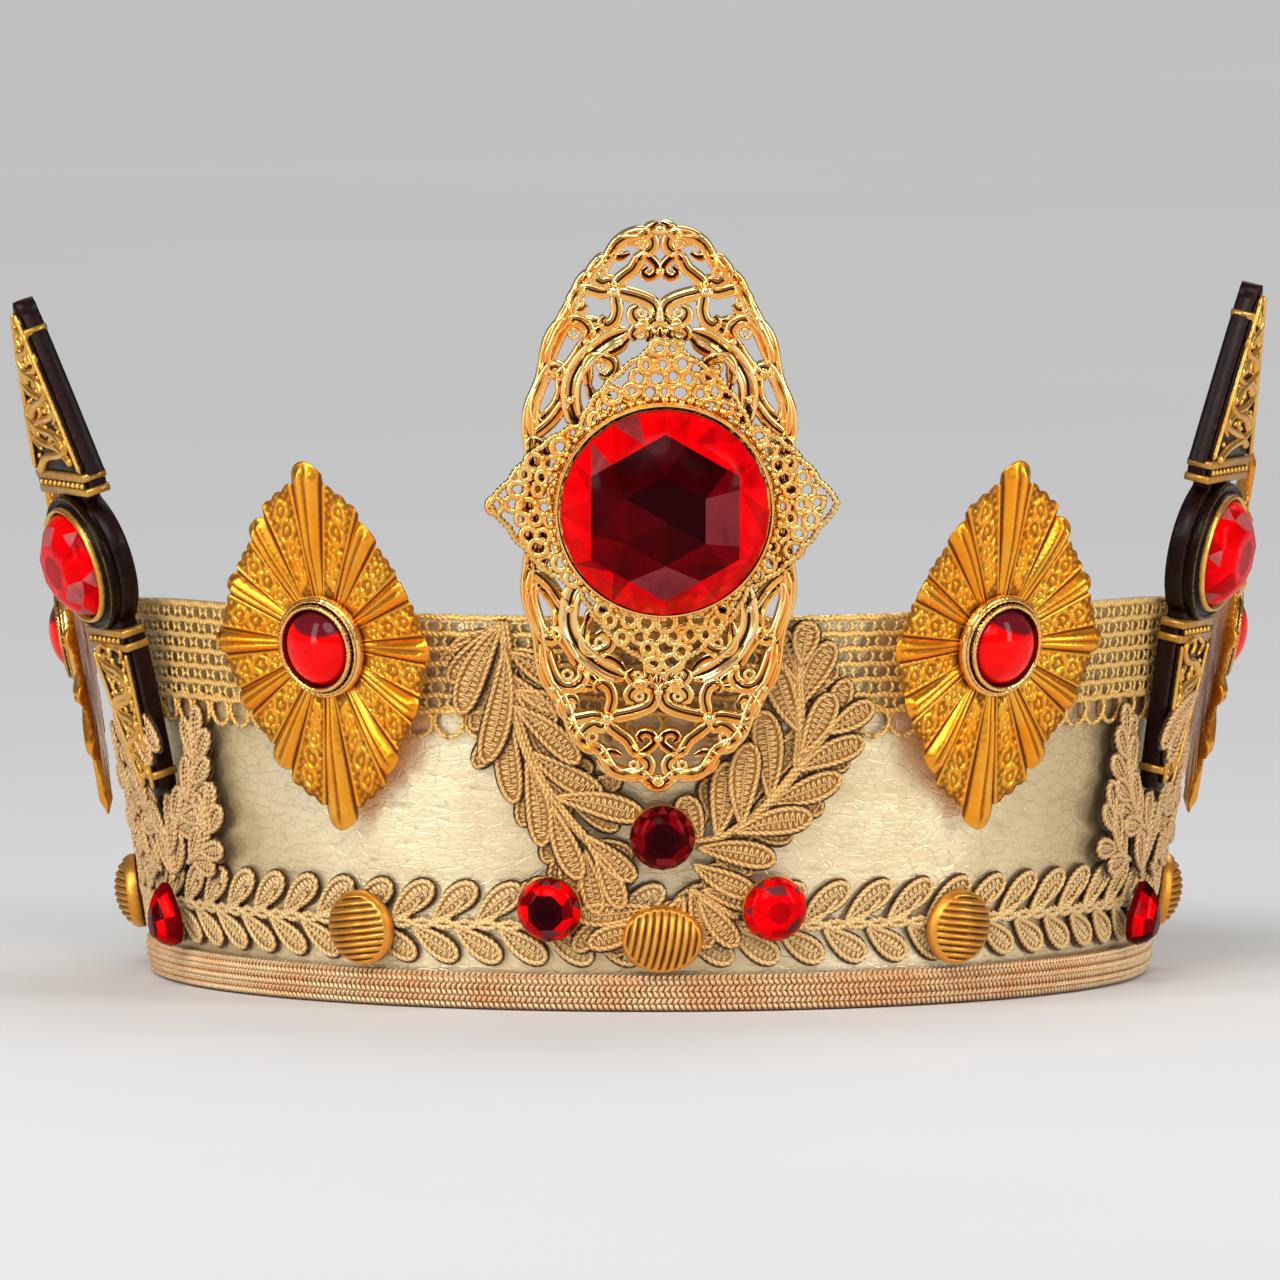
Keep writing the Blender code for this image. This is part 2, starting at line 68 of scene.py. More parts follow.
def unit(v):
    return v / np.maximum(np.linalg.norm(v, axis=-1, keepdims=True), 1e-12)


def same_shape(*values):
    return np.broadcast_arrays(*(np.asarray(v, float) for v in values))


def around(count):
    """Angles once round, a step apart."""
    return TAU * np.arange(count) / count


def wrap(t, z, out):
    """The band at the angle t from the front."""
    t, z, out = same_shape(t, z, out)
    half = HALF_WIDTH + FLARE * z + out
    points = np.stack([CX + half * np.sin(t), CY - OVAL * half * np.cos(t), z], -1)
    slope = np.full_like(t, -OVAL * FLARE)
    return points, unit(np.stack([OVAL * np.sin(t), -np.cos(t), slope], -1))


# The distance round the band, from the front, at the middle height.
ARC_T = np.linspace(-math.pi, math.pi, 2881)
ARC_STEP = np.hypot(np.cos(ARC_T), OVAL * np.sin(ARC_T)) * (HALF_WIDTH + FLARE * MIDDLE_HEIGHT)
ARC_S = np.concatenate([[0], np.cumsum((ARC_STEP[1:] + ARC_STEP[:-1]) / 2)])
ARC_S = ARC_S * (ARC_T[1] - ARC_T[0])
ARC_S -= ARC_S[-1] / 2
ROUND = ARC_S[-1] * 2


def angle_at(s):
    s = np.asarray(s, float)
    turns = np.floor(s / ROUND + 0.5)
    return np.interp(s - turns * ROUND, ARC_S, ARC_T) + turns * TAU


def length_at(degrees):
    return float(np.interp(math.radians(degrees), ARC_T, ARC_S))


def band(s, z, out):
    """The band at a distance round it."""
    return wrap(angle_at(s), z, out)


def rim_height(t):
    t = np.abs((np.asarray(t, float) + math.pi) % TAU - math.pi)
    share = np.clip((t - DROP_FROM) / (math.pi - DROP_FROM), 0, 1)
    return BAND_HEIGHT - BACK_DROP * share * share * (3 - 2 * share)


def below_rim(s, down, out):
    """The band again, with heights counted down from its top edge."""
    t = angle_at(s)
    return wrap(t, rim_height(t) - down, out)


def station(t_degrees, z, out, lean_degrees):
    """A frame on the band: X along it, Y up the lean and Z facing out. In mm."""
    t = math.radians(t_degrees)
    facing = math.atan2(OVAL * math.sin(t), math.cos(t))
    tip = math.pi / 2 + math.radians(lean_degrees)
    c, s = math.cos(facing), math.sin(facing)
    turn = np.array([[c, -s, 0], [s, c, 0], [0, 0, 1]])
    c, s = math.cos(tip), math.sin(tip)
    pitch = np.array([[1, 0, 0], [0, c, -s], [0, s, c]])
    return turn @ pitch, wrap(t, z, out)[0]


def rolled(axes, origin, radius):
    """A surface on a frame, rolled back about an upright axis behind it."""

    def surface(u, v, out):
        u, v, out = same_shape(u, v, out)
        angle = u / radius
        reach = radius + out
        local = np.stack([reach * np.sin(angle), v, reach * np.cos(angle) - radius], -1)
        facing = np.stack([np.sin(angle), np.zeros_like(u), np.cos(angle)], -1)
        return local @ axes.T + origin, facing @ axes.T

    return surface


def plane(axes, origin):
    """A flat surface on a frame."""

    def surface(u, v, out):
        points = np.stack(same_shape(u, v, out), -1) @ axes.T + origin
        return points, np.broadcast_to(axes[:, 2], points.shape)

    return surface


def band_plane(t, z, out):
    return plane(*station(t, z, out, LEAN))


# --- mesh building


class Pile:
    """Vertices and faces that become one piece. Each vertex carries a yarn
    attribute: distance along, shade from 0 in a hollow to 1 on top, and turn."""

    def __init__(self):
        self.points, self.marks, self.quads, self.tris = [], [], [], []
        self.count = 0

    def add(self, points, marks, quads=None, tris=None):
        """marks is the yarn attribute, or its shade alone."""
        marks = np.asarray(marks, float)
        if marks.shape != points.shape:
            shade, marks = marks, np.zeros(points.shape)
            marks[..., 1] = shade
        if quads is not None:
            self.quads.append(quads + self.count)
        if tris is not None:
            self.tris.append(tris + self.count)
        self.points.append(points.reshape(-1, 3))
        self.marks.append(marks.reshape(-1, 3))
        self.count += len(self.points[-1])


def grid_faces(rows, columns, wrap_rows=False, wrap_columns=False):
    """Quads over a rows by columns grid of vertices."""
    r = np.arange(rows if wrap_rows else rows - 1)
    c = np.arange(columns if wrap_columns else columns - 1)
    r0, c0 = np.meshgrid(r, c, indexing="ij")
    r1, c1 = (r0 + 1) % rows, (c0 + 1) % columns
    faces = [r0 * columns + c0, r1 * columns + c0, r1 * columns + c1, r0 * columns + c1]
    return np.stack([f.ravel() for f in faces], -1)


def make(name, pile, material, *nodes, slot=None, sharp=None, tones=None, facets=False):
    """A piece that rides on the crown and stands for these solids. tones are colours,
    one for each vertex, or for each face of a faceted piece."""
    mesh = bpy.data.meshes.new(name)
    points = np.concatenate(pile.points) * MM
    quads = np.concatenate(pile.quads or [np.empty((0, 4), int)])
    tris = np.concatenate(pile.tris or [np.empty((0, 3), int)])
    loops = np.concatenate([quads.ravel(), tris.ravel()])
    starts = np.concatenate([np.arange(len(quads)) * 4, quads.size + np.arange(len(tris)) * 3])
    mesh.vertices.add(len(points))
    mesh.vertices.foreach_set("co", points.astype(np.float32).ravel())
    mesh.loops.add(len(loops))
    mesh.loops.foreach_set("vertex_index", loops.astype(np.int32))
    mesh.polygons.add(len(starts))
    mesh.polygons.foreach_set("loop_start", starts.astype(np.int32))
    mesh.update(calc_edges=True)
    mesh.validate()

    def store(key, values, domain):
        data = mesh.attributes.new(key, "FLOAT_VECTOR", domain).data
        data.foreach_set("vector", np.asarray(values, np.float32).ravel())

    store("yarn", np.concatenate(pile.marks), "POINT")
    if tones is not None:
        store("tone", tones, "FACE" if facets else "POINT")
    if not facets:
        mesh.shade_smooth()
    if sharp is not None:
        mesh.set_sharp_from_angle(angle=math.radians(sharp))
    mesh.materials.append(material)
    piece = bpy.data.objects.new(name, mesh)
    bpy.context.scene.collection.objects.link(piece)
    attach(piece, "root")
    if nodes:
        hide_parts(*nodes)
    return piece


def distances(path):
    """How far along a path each of its points is."""
    steps = np.linalg.norm(np.diff(path, axis=0), axis=1)
    return np.concatenate([[0], np.cumsum(steps)])


def sweep(pile, path, normals, width, height, sides, closed=False, rope=None):
    """A tube along a path. width and height are half sizes, across and along the
    normals. rope is (depth, strands, length of one turn)."""
    if closed:
        tangent = unit(np.roll(path, -1, 0) - np.roll(path, 1, 0))
    else:
        tangent = unit(np.gradient(path, axis=0))
    across = unit(np.cross(tangent, normals))
    up = np.cross(across, tangent)
    along = distances(path)[:, None]
    turn = np.arange(sides) / sides
    theta = TAU * turn - math.pi / 2
    size = np.ones((len(path), sides))
    if rope:
        depth, strands, pitch = rope
        if closed:
            whole = along[-1, 0] + np.linalg.norm(path[0] - path[-1])
            pitch = whole / max(1, round(whole / pitch))
        size += depth * np.cos(strands * (theta - TAU * along / pitch))
    if not closed:
        size[[0, -1]] *= 0.5
    width, height = (
        np.broadcast_to(np.asarray(a, float), len(path))[:, None] for a in (width, height)
    )
    rings = path[:, None] + (np.cos(theta) * width * size)[..., None] * across[:, None]
    rings = rings + (np.sin(theta) * height * size)[..., None] * up[:, None]
    shade = (np.sin(theta) + 1) / 2
    if rope:
        shade = shade * (0.72 + 0.28 * (size - 1) / depth)
    marks = np.stack(same_shape(along, shade, turn), -1)
    quads = grid_faces(len(path), sides, closed, True)
    if closed:
        pile.add(rings, marks, quads)
        return
    points = np.concatenate([rings.reshape(-1, 3), path[[0, -1]]])
    marks = np.concatenate([marks.reshape(-1, 3), [[0, 0.5, 0], [along[-1, 0], 0.5, 0]]])
    k, end = np.arange(sides), (len(path) - 1) * sides
    k1, tip = (k + 1) % sides, np.full(sides, len(points) - 2)
    tris = [np.stack([tip, k, k1], -1), np.stack([tip + 1, end + k1, end + k], -1)]
    pile.add(points, marks, quads, np.concatenate(tris))


def through(points, step):
    """A smooth curve through points, as points a step apart."""
    points = np.asarray(points, float)
    ring = np.concatenate([2 * points[:1] - points[1:2], points, 2 * points[-1:] - points[-2:-1]])
    x = np.linspace(0, 1, 12, endpoint=False)[:, None]
    parts = []
    for a, b, c, d in zip(ring, ring[1:], ring[2:], ring[3:]):
        square = (2 * a - 5 * b + 4 * c - d) * x**2
        parts.append(0.5 * (2 * b + (c - a) * x + square + (3 * b - a - 3 * c + d) * x**3))
    return evenly(np.concatenate(parts + [ring[-2:-1]]), step)


def evenly(fine, step, closed=False):
    """The same line, with its points a step apart."""
    if closed:
        fine = np.concatenate([fine, fine[:1]])
    along = distances(fine)
    count = max(4, int(round(along[-1] / step)))
    at = np.linspace(0, along[-1], count + 1)[: -1 if closed else None]
    return np.stack([np.interp(at, along, fine[:, i]) for i in range(2)], -1)


def strand(pile, surface, line, out, radius, flat, sides=8, closed=False, rope=None):
    """A cord laid on a surface along a line of (across, up) points."""
    line = np.asarray(line)
    path, normals = surface(line[:, 0], line[:, 1], out)
    sweep(pile, path, normals, radius, np.asarray(radius) * flat, sides, closed, rope)


def fill(pile, outline, out, shade):
    """A thin flat patch on the band inside an outline, all of one shade. Inside a leaf's outline
    it is the fabric behind the leaf; at shade 0 and a little wider it is a painted shadow round
    the leaf.
    """
    count, middle = len(outline), outline.mean(0)
    line = np.concatenate([outline, middle[None]])
    k = np.arange(count)
    tris = np.stack([k, (k + 1) % count, np.full(count, count)], -1)
    (ax, ay), (bx, by) = outline[1] - outline[0], middle - outline[0]
    if ax * by - ay * bx < 0:
        tris = tris[:, ::-1]
    pile.add(band(line[:, 0], line[:, 1], out)[0], shade, tris=tris)


def lathe(pile, surface, profile, steps, shade=0.8, centre=(0, 0)):
    """A turned shape on a surface, from (radius, height) pairs, middle or top first."""
    radius, height = np.array(profile, float).T[:, :, None]
    u, v = centre[0] + radius * np.sin(around(steps)), centre[1] + radius * np.cos(around(steps))
    shade = np.broadcast_to(np.reshape(shade, (-1, 1)), u.shape)
    faces = grid_faces(len(profile), steps, False, True)[:, ::-1]
    pile.add(surface(u, v, height)[0], shade, faces)


def bead(pile, surface, u, v, out, radius, rise=0.8, steps=14):
    profile = [(0.02, 1), (0.42, 0.88), (0.78, 0.55), (1.0, 0.0), (0.9, -0.5), (0.02, -0.6)]
    sized = [(r * radius, out + h * rise * radius) for r, h in profile]
    lathe(pile, surface, sized, steps, [1, 0.95, 0.8, 0.4, 0.1, 0.1], (u, v))


# --- materials


class Shader:
    """A short way to write the node tree of one slot's material."""

    def __init__(self, name, slot=None):
        self.material = bpy.data.materials.new(name)
        self.material.use_nodes = True
        self.tree = self.material.node_tree
        self.place = self.object_space(1, 1, 1)

    def feed(self, node, values):
        """Sets a node's inputs to numbers, colours or other nodes' outputs."""
        for key, value in values.items():
            socket = node.inputs[key]
            if isinstance(value, bpy.types.NodeSocket):
                self.tree.links.new(value, socket)
            elif isinstance(value, tuple) and socket.type == "RGBA":
                socket.default_value = (*value, 1)
            elif value is not None:
                socket.default_value = value

    def node(self, kind, values, output=0, **settings):
        made = self.tree.nodes.new("ShaderNode" + kind)
        for key, value in settings.items():
            setattr(made, key, value)
        self.feed(made, values)
        return made.outputs[output]

    def object_space(self, *scale):
        place = self.node("TexCoord", {}, "Object")
        return self.node("Mapping", {"Vector": place, "Scale": scale})

    def attribute(self, name):
        return self.node("Attribute", {}, "Vector", attribute_name=name)

    def split(self, vector):
        return self.node("SeparateXYZ", {0: vector}).node.outputs[:]

    def yarn(self):
        """Distance along, shade and turn."""
        return self.split(self.attribute("yarn"))

    def noise(self, scale, detail, roughness=0.55, distortion=0.0, place=None):
        values = {"Vector": place or self.place, "Scale": scale, "Detail": detail}
        values |= {"Roughness": roughness, "Distortion": distortion}
        return self.node("TexNoise", values, "Fac")

    def cells(self, scale, feature="F1", place=None):
        values = {"Vector": place or self.place, "Scale": scale}
        return self.node("TexVoronoi", values, "Distance", feature=feature)

    def math(self, operation, a, b=0.0):
        return self.node("Math", {0: a, 1: b}, operation=operation)

    def plus(self, a, b):
        return self.math("ADD", a, b)

    def times(self, a, b):
        return self.math("MULTIPLY", a, b)

    def ramp(self, value, *stops):
        colours = self.node("ValToRGB", {0: value})
        elements = colours.node.color_ramp.elements
        elements[0].position, elements[-1].position = stops[0][0], stops[-1][0]
        for position, _ in stops[1:-1]:
            elements.new(position)
        for element, (_, colour) in zip(elements, stops):
            element.color = (*colour, 1) if isinstance(colour, tuple) else (colour,) * 3 + (1,)
        return colours

    def mix(self, share, a, b, blend="MIX"):
        return self.node("Mix", {0: share, 6: a, 7: b}, 2, data_type="RGBA", blend_type=blend)

    def bump(self, height, distance, strength, normal=None):
        values = {"Height": height, "Distance": distance * MM, "Strength": strength}
        return self.node("Bump", values | {"Normal": normal})

    def finish(self, colour, metallic, roughness, normal=None, **others):
        values = {"Base Color": colour, "Metallic": metallic, "Roughness": roughness}
        values |= {key.replace("_", " "): value for key, value in others.items()}
        self.feed(self.tree.nodes["Principled BSDF"], values | {"Normal": normal})
        return self.material


def leather_material():
    m = Shader("champagne_leather", "gold_leather")
    stretched = m.object_space(1, 1, 1.7)
    patches = m.noise(38, 4, 0.6)
    creases = m.noise(240, 5, 0.65, 0.6, m.object_space(0.8, 0.8, 2.6))
    line = m.ramp(m.cells(310, "DISTANCE_TO_EDGE", stretched), (0.0, 0.0), (0.05, 1.0))
    fine = m.noise(900, 3, 0.7)
    pale, champagne, gleam = (0.80, 0.63, 0.36), (0.97, 0.82, 0.52), (1.0, 0.92, 0.66)
    colour = m.ramp(patches, (0.3, pale), (0.5, champagne), (0.72, gleam))
    colour = m.mix(m.ramp(creases, (0.30, 0.55), (0.42, 0.0)), colour, (0.50, 0.38, 0.20))
    crack = m.times(m.ramp(line, (0, 1.0), (1, 0.0)), 0.16)
    colour = m.mix(crack, colour, (0.42, 0.31, 0.16))
    colour = m.mix(m.ramp(fine, (0.32, 0.30), (0.46, 0.0)), colour, (0.55, 0.43, 0.24))
    # Painted shade: the leather is darker near the middle, front and back, and again towards the
    # sides, by its sideways place alone.
    sideways = m.math("ABSOLUTE", m.split(m.object_space(10, 10, 10))[0])
    wear_and_shade = m.ramp(sideways, (0.10, 0.40), (0.32, 0.0), (0.50, 0.0), (0.70, 0.62))
    colour = m.mix(wear_and_shade, colour, (0.50, 0.32, 0.11))
    normal = m.bump(line, 0.10, 0.4, m.bump(creases, 0.34, 0.5))
    normal = m.bump(m.cells(820, place=stretched), 0.08, 0.5, normal)
    return m.finish(colour, 0.62, m.ramp(patches, (0.3, 0.40), (0.7, 0.27)), normal)


def felt_material():
    m = Shader("tan_felt", "lining_felt")
    fuzz, clumps = m.noise(1400, 4, 0.7), m.noise(160, 3)
    colour = m.ramp(clumps, (0.3, (0.46, 0.37, 0.24)), (0.7, (0.62, 0.52, 0.36)))
    colour = m.mix(m.ramp(fuzz, (0.35, 0.5), (0.6, 0.0)), colour, (0.30, 0.23, 0.14))
    normal = m.bump(fuzz, 0.35, 0.8, m.bump(clumps, 0.5, 0.4))
    return m.finish(colour, 0.0, 0.92, normal, Sheen_Weight=0.35, Sheen_Roughness=0.5)


def board_material():
    m = Shader("buckram_board")
    fibres = m.noise(500, 4, 0.7, place=m.object_space(1, 1, 6))
    colour = m.ramp(fibres, (0.3, (0.33, 0.26, 0.17)), (0.7, (0.50, 0.42, 0.30)))
    return m.finish(colour, 0.0, 0.85, m.bump(m.noise(900, 3), 0.2, 0.6))


def yarn_material(name, dark, body, light, metallic, roughness, twist, tint=None):
    """Metallic thread. twist is the length of one turn of its plies, in mm."""
    m = Shader(name, "rose_gold_braid" if tint else "gold_thread")
    along, shade, turn = m.yarn()
    turns = m.plus(m.math("DIVIDE", along, twist), m.times(turn, 2.0))
    ply = m.plus(m.times(m.math("SINE", m.times(turns, TAU)), 0.5), 0.5)
    grain = m.noise(1500, 3, 0.7)
    # Painted shade and highlight: each thread is darker underneath and lighter on top, by the
    # shade in the yarn attribute, and lighter and darker in turn along its plies.
    depth = m.plus(m.times(shade, 0.78), m.times(ply, 0.24))
    depth = m.plus(depth, m.times(m.plus(grain, -0.5), 0.5))
    colour = m.ramp(depth, (0.12, dark), (0.45, body), (0.86, light))
    if tint:
        patch = m.noise(90, 3, 0.6)
        colour = m.mix(m.ramp(patch, (0.42, 0.0), (0.62, 0.75)), colour, tint, "MULTIPLY")
    normal = m.bump(grain, 0.12, 0.6, m.bump(ply, 0.16, 0.8))
    rough = m.ramp(grain, (0.3, roughness + 0.14), (0.7, roughness - 0.10))
    return m.finish(colour, metallic, rough, normal, Sheen_Weight=0.15)


def gold_material(name, slot, deep, body, light, roughness, shade_and_wash, grain=0.0, wear_and_shade=False):
    """Gold plate. Its hollows are darker, up to the given shades, and this dark is painted shade.
    Worn gold has a dull, uneven dark in them: a dark wash on the metal as well as painted shade."""
    m = Shader(name, slot)
    shade = m.yarn()[1]
    patch, fine = m.noise(120, 4, 0.6), m.noise(1300, 3, 0.65)
    level = m.plus(shade, m.times(m.plus(fine, -0.5), 0.35 if wear_and_shade else 0.12))
    colour = m.mix(m.ramp(patch, (0.35, 0.0), (0.65, 1.0)), body, light)
    # Painted shade: darker metal where the shade is low, in the hollows.
    colour = m.mix(m.ramp(level, (shade_and_wash[0], 1.0), (shade_and_wash[1], 0.0)), colour, deep)
    normal = m.bump(patch, 0.10, 0.15)
    if grain:
        normal = m.bump(m.cells(1250), grain, 0.7, normal)
    normal = m.bump(fine, 0.03 + grain * 0.4, 0.4, normal)
    rough = m.ramp(patch, (0.3, roughness * 1.5), (0.7, roughness * 0.8))
    metal = m.ramp(level, (shade_and_wash[0], 0.1 if wear_and_shade else 1.0), (shade_and_wash[1], 1.0))
    return m.finish(colour, metal, rough, normal, Specular_IOR_Level=0.12 if wear_and_shade else 0.5)


def lacquer_material():
    m = Shader("dark_lacquer", "dark_board")
    streaks = m.noise(420, 4, 0.6, place=m.object_space(1, 1, 0.25))
    scuffs = m.noise(900, 4, 0.75)
    colour = m.ramp(streaks, (0.3, (0.003, 0.0010, 0.0008)), (0.7, (0.013, 0.003, 0.0025)))
    edge = m.ramp(m.yarn()[1], (0.75, 0.0), (0.98, 1.0))
    edge = m.times(edge, m.ramp(scuffs, (0.4, 0.15), (0.6, 0.8)))
    colour = m.mix(edge, colour, (0.10, 0.035, 0.022))
    rough = m.ramp(scuffs, (0.35, 0.28), (0.7, 0.42))
    return m.finish(colour, 0.0, rough, m.bump(scuffs, 0.05, 0.4), Specular_IOR_Level=0.14)


def ruby_facets_material():
    """Each facet's depth of red, as the foil behind it throws it back: painted light, with deeper
    tones for shade and greyish ones for reflections.
    """
    m = Shader("ruby_facets", "ruby_acrylic")
    tone = m.attribute("tone")
    cloud = m.noise(210, 3, 0.6, 0.8)
    shards = m.ramp(m.cells(170), (0.1, 0.0), (0.7, 0.35))
    colour = m.mix(m.ramp(cloud, (0.42, 0.0), (0.66, 0.40)), tone, (0.02, 0.0, 0.001))
    colour = m.mix(m.times(shards, 0.5), colour, tone)
    return m.finish(colour, 0.0, 0.16, m.bump(cloud, 0.02, 0.1), Specular_IOR_Level=0.035)


def ruby_dome_material():
    """A domed stone, with the tones that its mesh holds."""
    m = Shader("ruby_dome", "ruby_acrylic")
    swirl = m.noise(260, 2, 0.5, 0.6)
    share = m.ramp(swirl, (0.45, 0.0), (0.7, 0.25))
    colour = m.mix(share, m.attribute("tone"), (0.10, 0.0, 0.003))
    return m.finish(colour, 0.0, 0.06, m.bump(swirl, 0.02, 0.1), Specular_IOR_Level=0.14)


# Threads: dark, body and light colour, metallic, roughness, twist and a patchy tint.
LACE, SPRAY, TRIM, LADDER, ROSE = (
    yarn_material(*row)
    for row in (
        ("lace_thread", (0.060, 0.020, 0.003), (0.62, 0.32, 0.10), (1.0, 0.72, 0.34),
         0.25, 0.42, 1.1),
        ("spray_thread", (0.036, 0.010, 0.001), (0.58, 0.25, 0.045), (1.0, 0.68, 0.25),
         0.25, 0.42, 1.1),
        ("trim_thread", (0.08, 0.028, 0.005), (0.76, 0.42, 0.13), (1.0, 0.78, 0.38),
         0.28, 0.4, 1.0),
        ("ladder_thread", (0.12, 0.040, 0.004), (0.95, 0.46, 0.075), (1.0, 0.76, 0.24),
         0.30, 0.36, 1.0),
        ("rose_gold_yarn", (0.11, 0.030, 0.006), (0.98, 0.46, 0.16), (1.0, 0.80, 0.46),
         0.42, 0.28, 0.9, (0.94, 0.72, 0.54)),
    )
)
# Golds: slot, hollow colour, which is painted shade, body and light colour, roughness, the shades
# that the hollow colour fills up to, grain, and worn or not.
BRIGHT, NET_GOLD, PRESSED, ANTIQUE, BUTTON = (
    gold_material(*row)
    for row in (
        ("bright_gold_plate", "bright_gold", (0.035, 0.011, 0.002), (1.0, 0.56, 0.17),
         (1.0, 0.72, 0.34), 0.13, (0.10, 0.48)),
        ("beaded_gold_net", "bright_gold", (0.08, 0.022, 0.002), (1.0, 0.48, 0.10),
         (1.0, 0.65, 0.23), 0.17, (0.12, 0.64), 0.10),
        ("pressed_gold_sheet", "pressed_gold", (0.13, 0.034, 0.002), (1.0, 0.34, 0.016),
         (1.0, 0.46, 0.045), 0.24, (0.12, 0.72), 0.05, True),
        ("antique_gold_cast", "antique_gold", (0.008, 0.003, 0.001), (0.80, 0.37, 0.055),
         (1.0, 0.56, 0.12), 0.24, (0.30, 0.80), 0.05, True),
        ("ribbed_gold", "button_gold", (0.09, 0.028, 0.003), (0.86, 0.36, 0.045),
         (0.98, 0.48, 0.09), 0.34, (0.05, 0.75), 0.04, True),
    )
)
LACQUER = lacquer_material()
RUBY = ruby_facets_material()
RUBY_DOME = ruby_dome_material()


# --- leather and felt


def band_sheet(name, profile, material, node, wrinkle, steps):
    """A sheet round the band. profile(t) gives its height, out and looseness."""
    t = np.linspace(-math.pi, math.pi, steps + 1)[:, None]
    z, out, loose = profile(t)
    push = [
        noise.noise(Vector((x * 0.09, y * 0.09, h * 0.22)))
        + 0.5 * noise.noise(Vector((x * 0.3, y * 0.3, h * 0.8)))
        for x, y, h in wrap(t, z, out)[0].reshape(-1, 3)
    ]
    out = out + np.array(push).reshape(z.shape) * wrinkle * loose
    pile = Pile()
    pile.add(wrap(t, z, out)[0][:-1], 0.8, grid_faces(steps, z.shape[1], True))
    return make(name, pile, material, node)


def leather_profile(t):
    """Up the outside, over the top edge and a little way down the inside."""
    foot, edge = 0.6, rim_height(t) - 1.6
    roll = np.linspace(0, math.pi, 12)[1:-1]
    outer = foot + (edge - foot) * np.linspace(0, 1, 44)
    over = edge + 2.1 * np.sin(roll)
    inner = edge - np.linspace(0, 5.6, 7)
    out = [0 * outer, 0 * over - 2.4 * (1 - np.cos(roll)), 0 * inner - 4.8]
    loose = [0 * outer + 1, 0 * over + 0.6, 0 * inner + 0.2]
    return [np.concatenate(parts, 1) for parts in ([outer, over, inner], out, loose)]


def lining_profile(t):
    z = 0.6 + (rim_height(t) - 1.8 - 0.6) * np.linspace(1, 0, 30)
    return z, np.full_like(z, -4.15), 1.0


gold, felt = leather_material(), felt_material()
leather = band_sheet("leather_skin", leather_profile, gold, "leather_cover", 0.16, 540)
lining = band_sheet("felt_lining", lining_profile, felt, "lining", 0.08, 360)


def stitches():
    """Running stitches that hold the turned-in edge of the leather."""
    pile = Pile()
    for s in np.arange(-ROUND / 2, ROUND / 2 - 1, 3.2):
        line = np.linspace((s, 5.9), (s + 2.1, 5.9), 5)
        path, normals = below_rim(line[:, 0], line[:, 1], -5.0)
        sweep(pile, path, -normals, 0.28, 0.22, 6)
    make("lining_stitches", pile, TRIM)


stitches()


# --- base braid


def base_braid():
    """A firm cord, flat below where the crown stands, under rows of slanted yarns whose
    slants alternate, as in a flat plait."""
    body, plait = Pile(), Pile()
    out = np.array([0.35, 0.9, 1.35, 1.5, 1.5, 1.35, 0.9, 0.35])
    z = np.array([5.7, 5.85, 5.4, 4.4, 1.6, 0.6, 0.0, 0.0])
    points = wrap(np.linspace(-math.pi, math.pi, 361)[:-1, None], z, out)[0]
    # The cord gets a low shade, 0.25, so that it shows darker between the yarns: painted shade.
    body.add(points, np.full(points.shape, 0.25), grid_faces(360, 8, True, True)[:, ::-1])
    count = 2 * int(ROUND / 2.0)
    tops = (1.3, 2.3, 3.3, 4.3, 5.3, 6.1)
    for index, (top, out) in enumerate(zip(tops, (1.35, 1.55, 1.66, 1.64, 1.5, 1.2))):
        z, slant = index + 0.2, 1 if index % 2 else -1
        for k in range(count):
            s = (k + 0.5 * (index // 2)) * ROUND / count
            line = [(s, z), (s + slant * 0.45, (z + top) / 2), (s + slant * 0.9, top)]
            arch = out + np.array([-0.25, 0.08, -0.25])
            path, normals = band(*np.transpose(line), arch)
            sweep(plait, path, normals, np.array([0.27, 0.38, 0.27]), 0.34, 6)
    make("braid_body", body, ROSE, "base_braid")
    make("braid_plait", plait, ROSE)


base_braid()


# --- leaves of lace

LACE_OUT = 2.25
LEAF_SLIM = 0.86
LEAF_FULLEST = 0.77


def leaf_place(root, heading, curl):
    """From leaf coordinates, along it and across it, to the surface's."""
    c, s = math.cos(heading), math.sin(heading)

    def to_surface(x, y):
        if curl:
            a = curl * x
            x, y = np.sin(a) / curl - y * np.sin(a), (1 - np.cos(a)) / curl + y * np.cos(a)
        return np.stack([root[0] + c * x - s * y, root[1] + s * x + c * y], -1)

    return to_surface


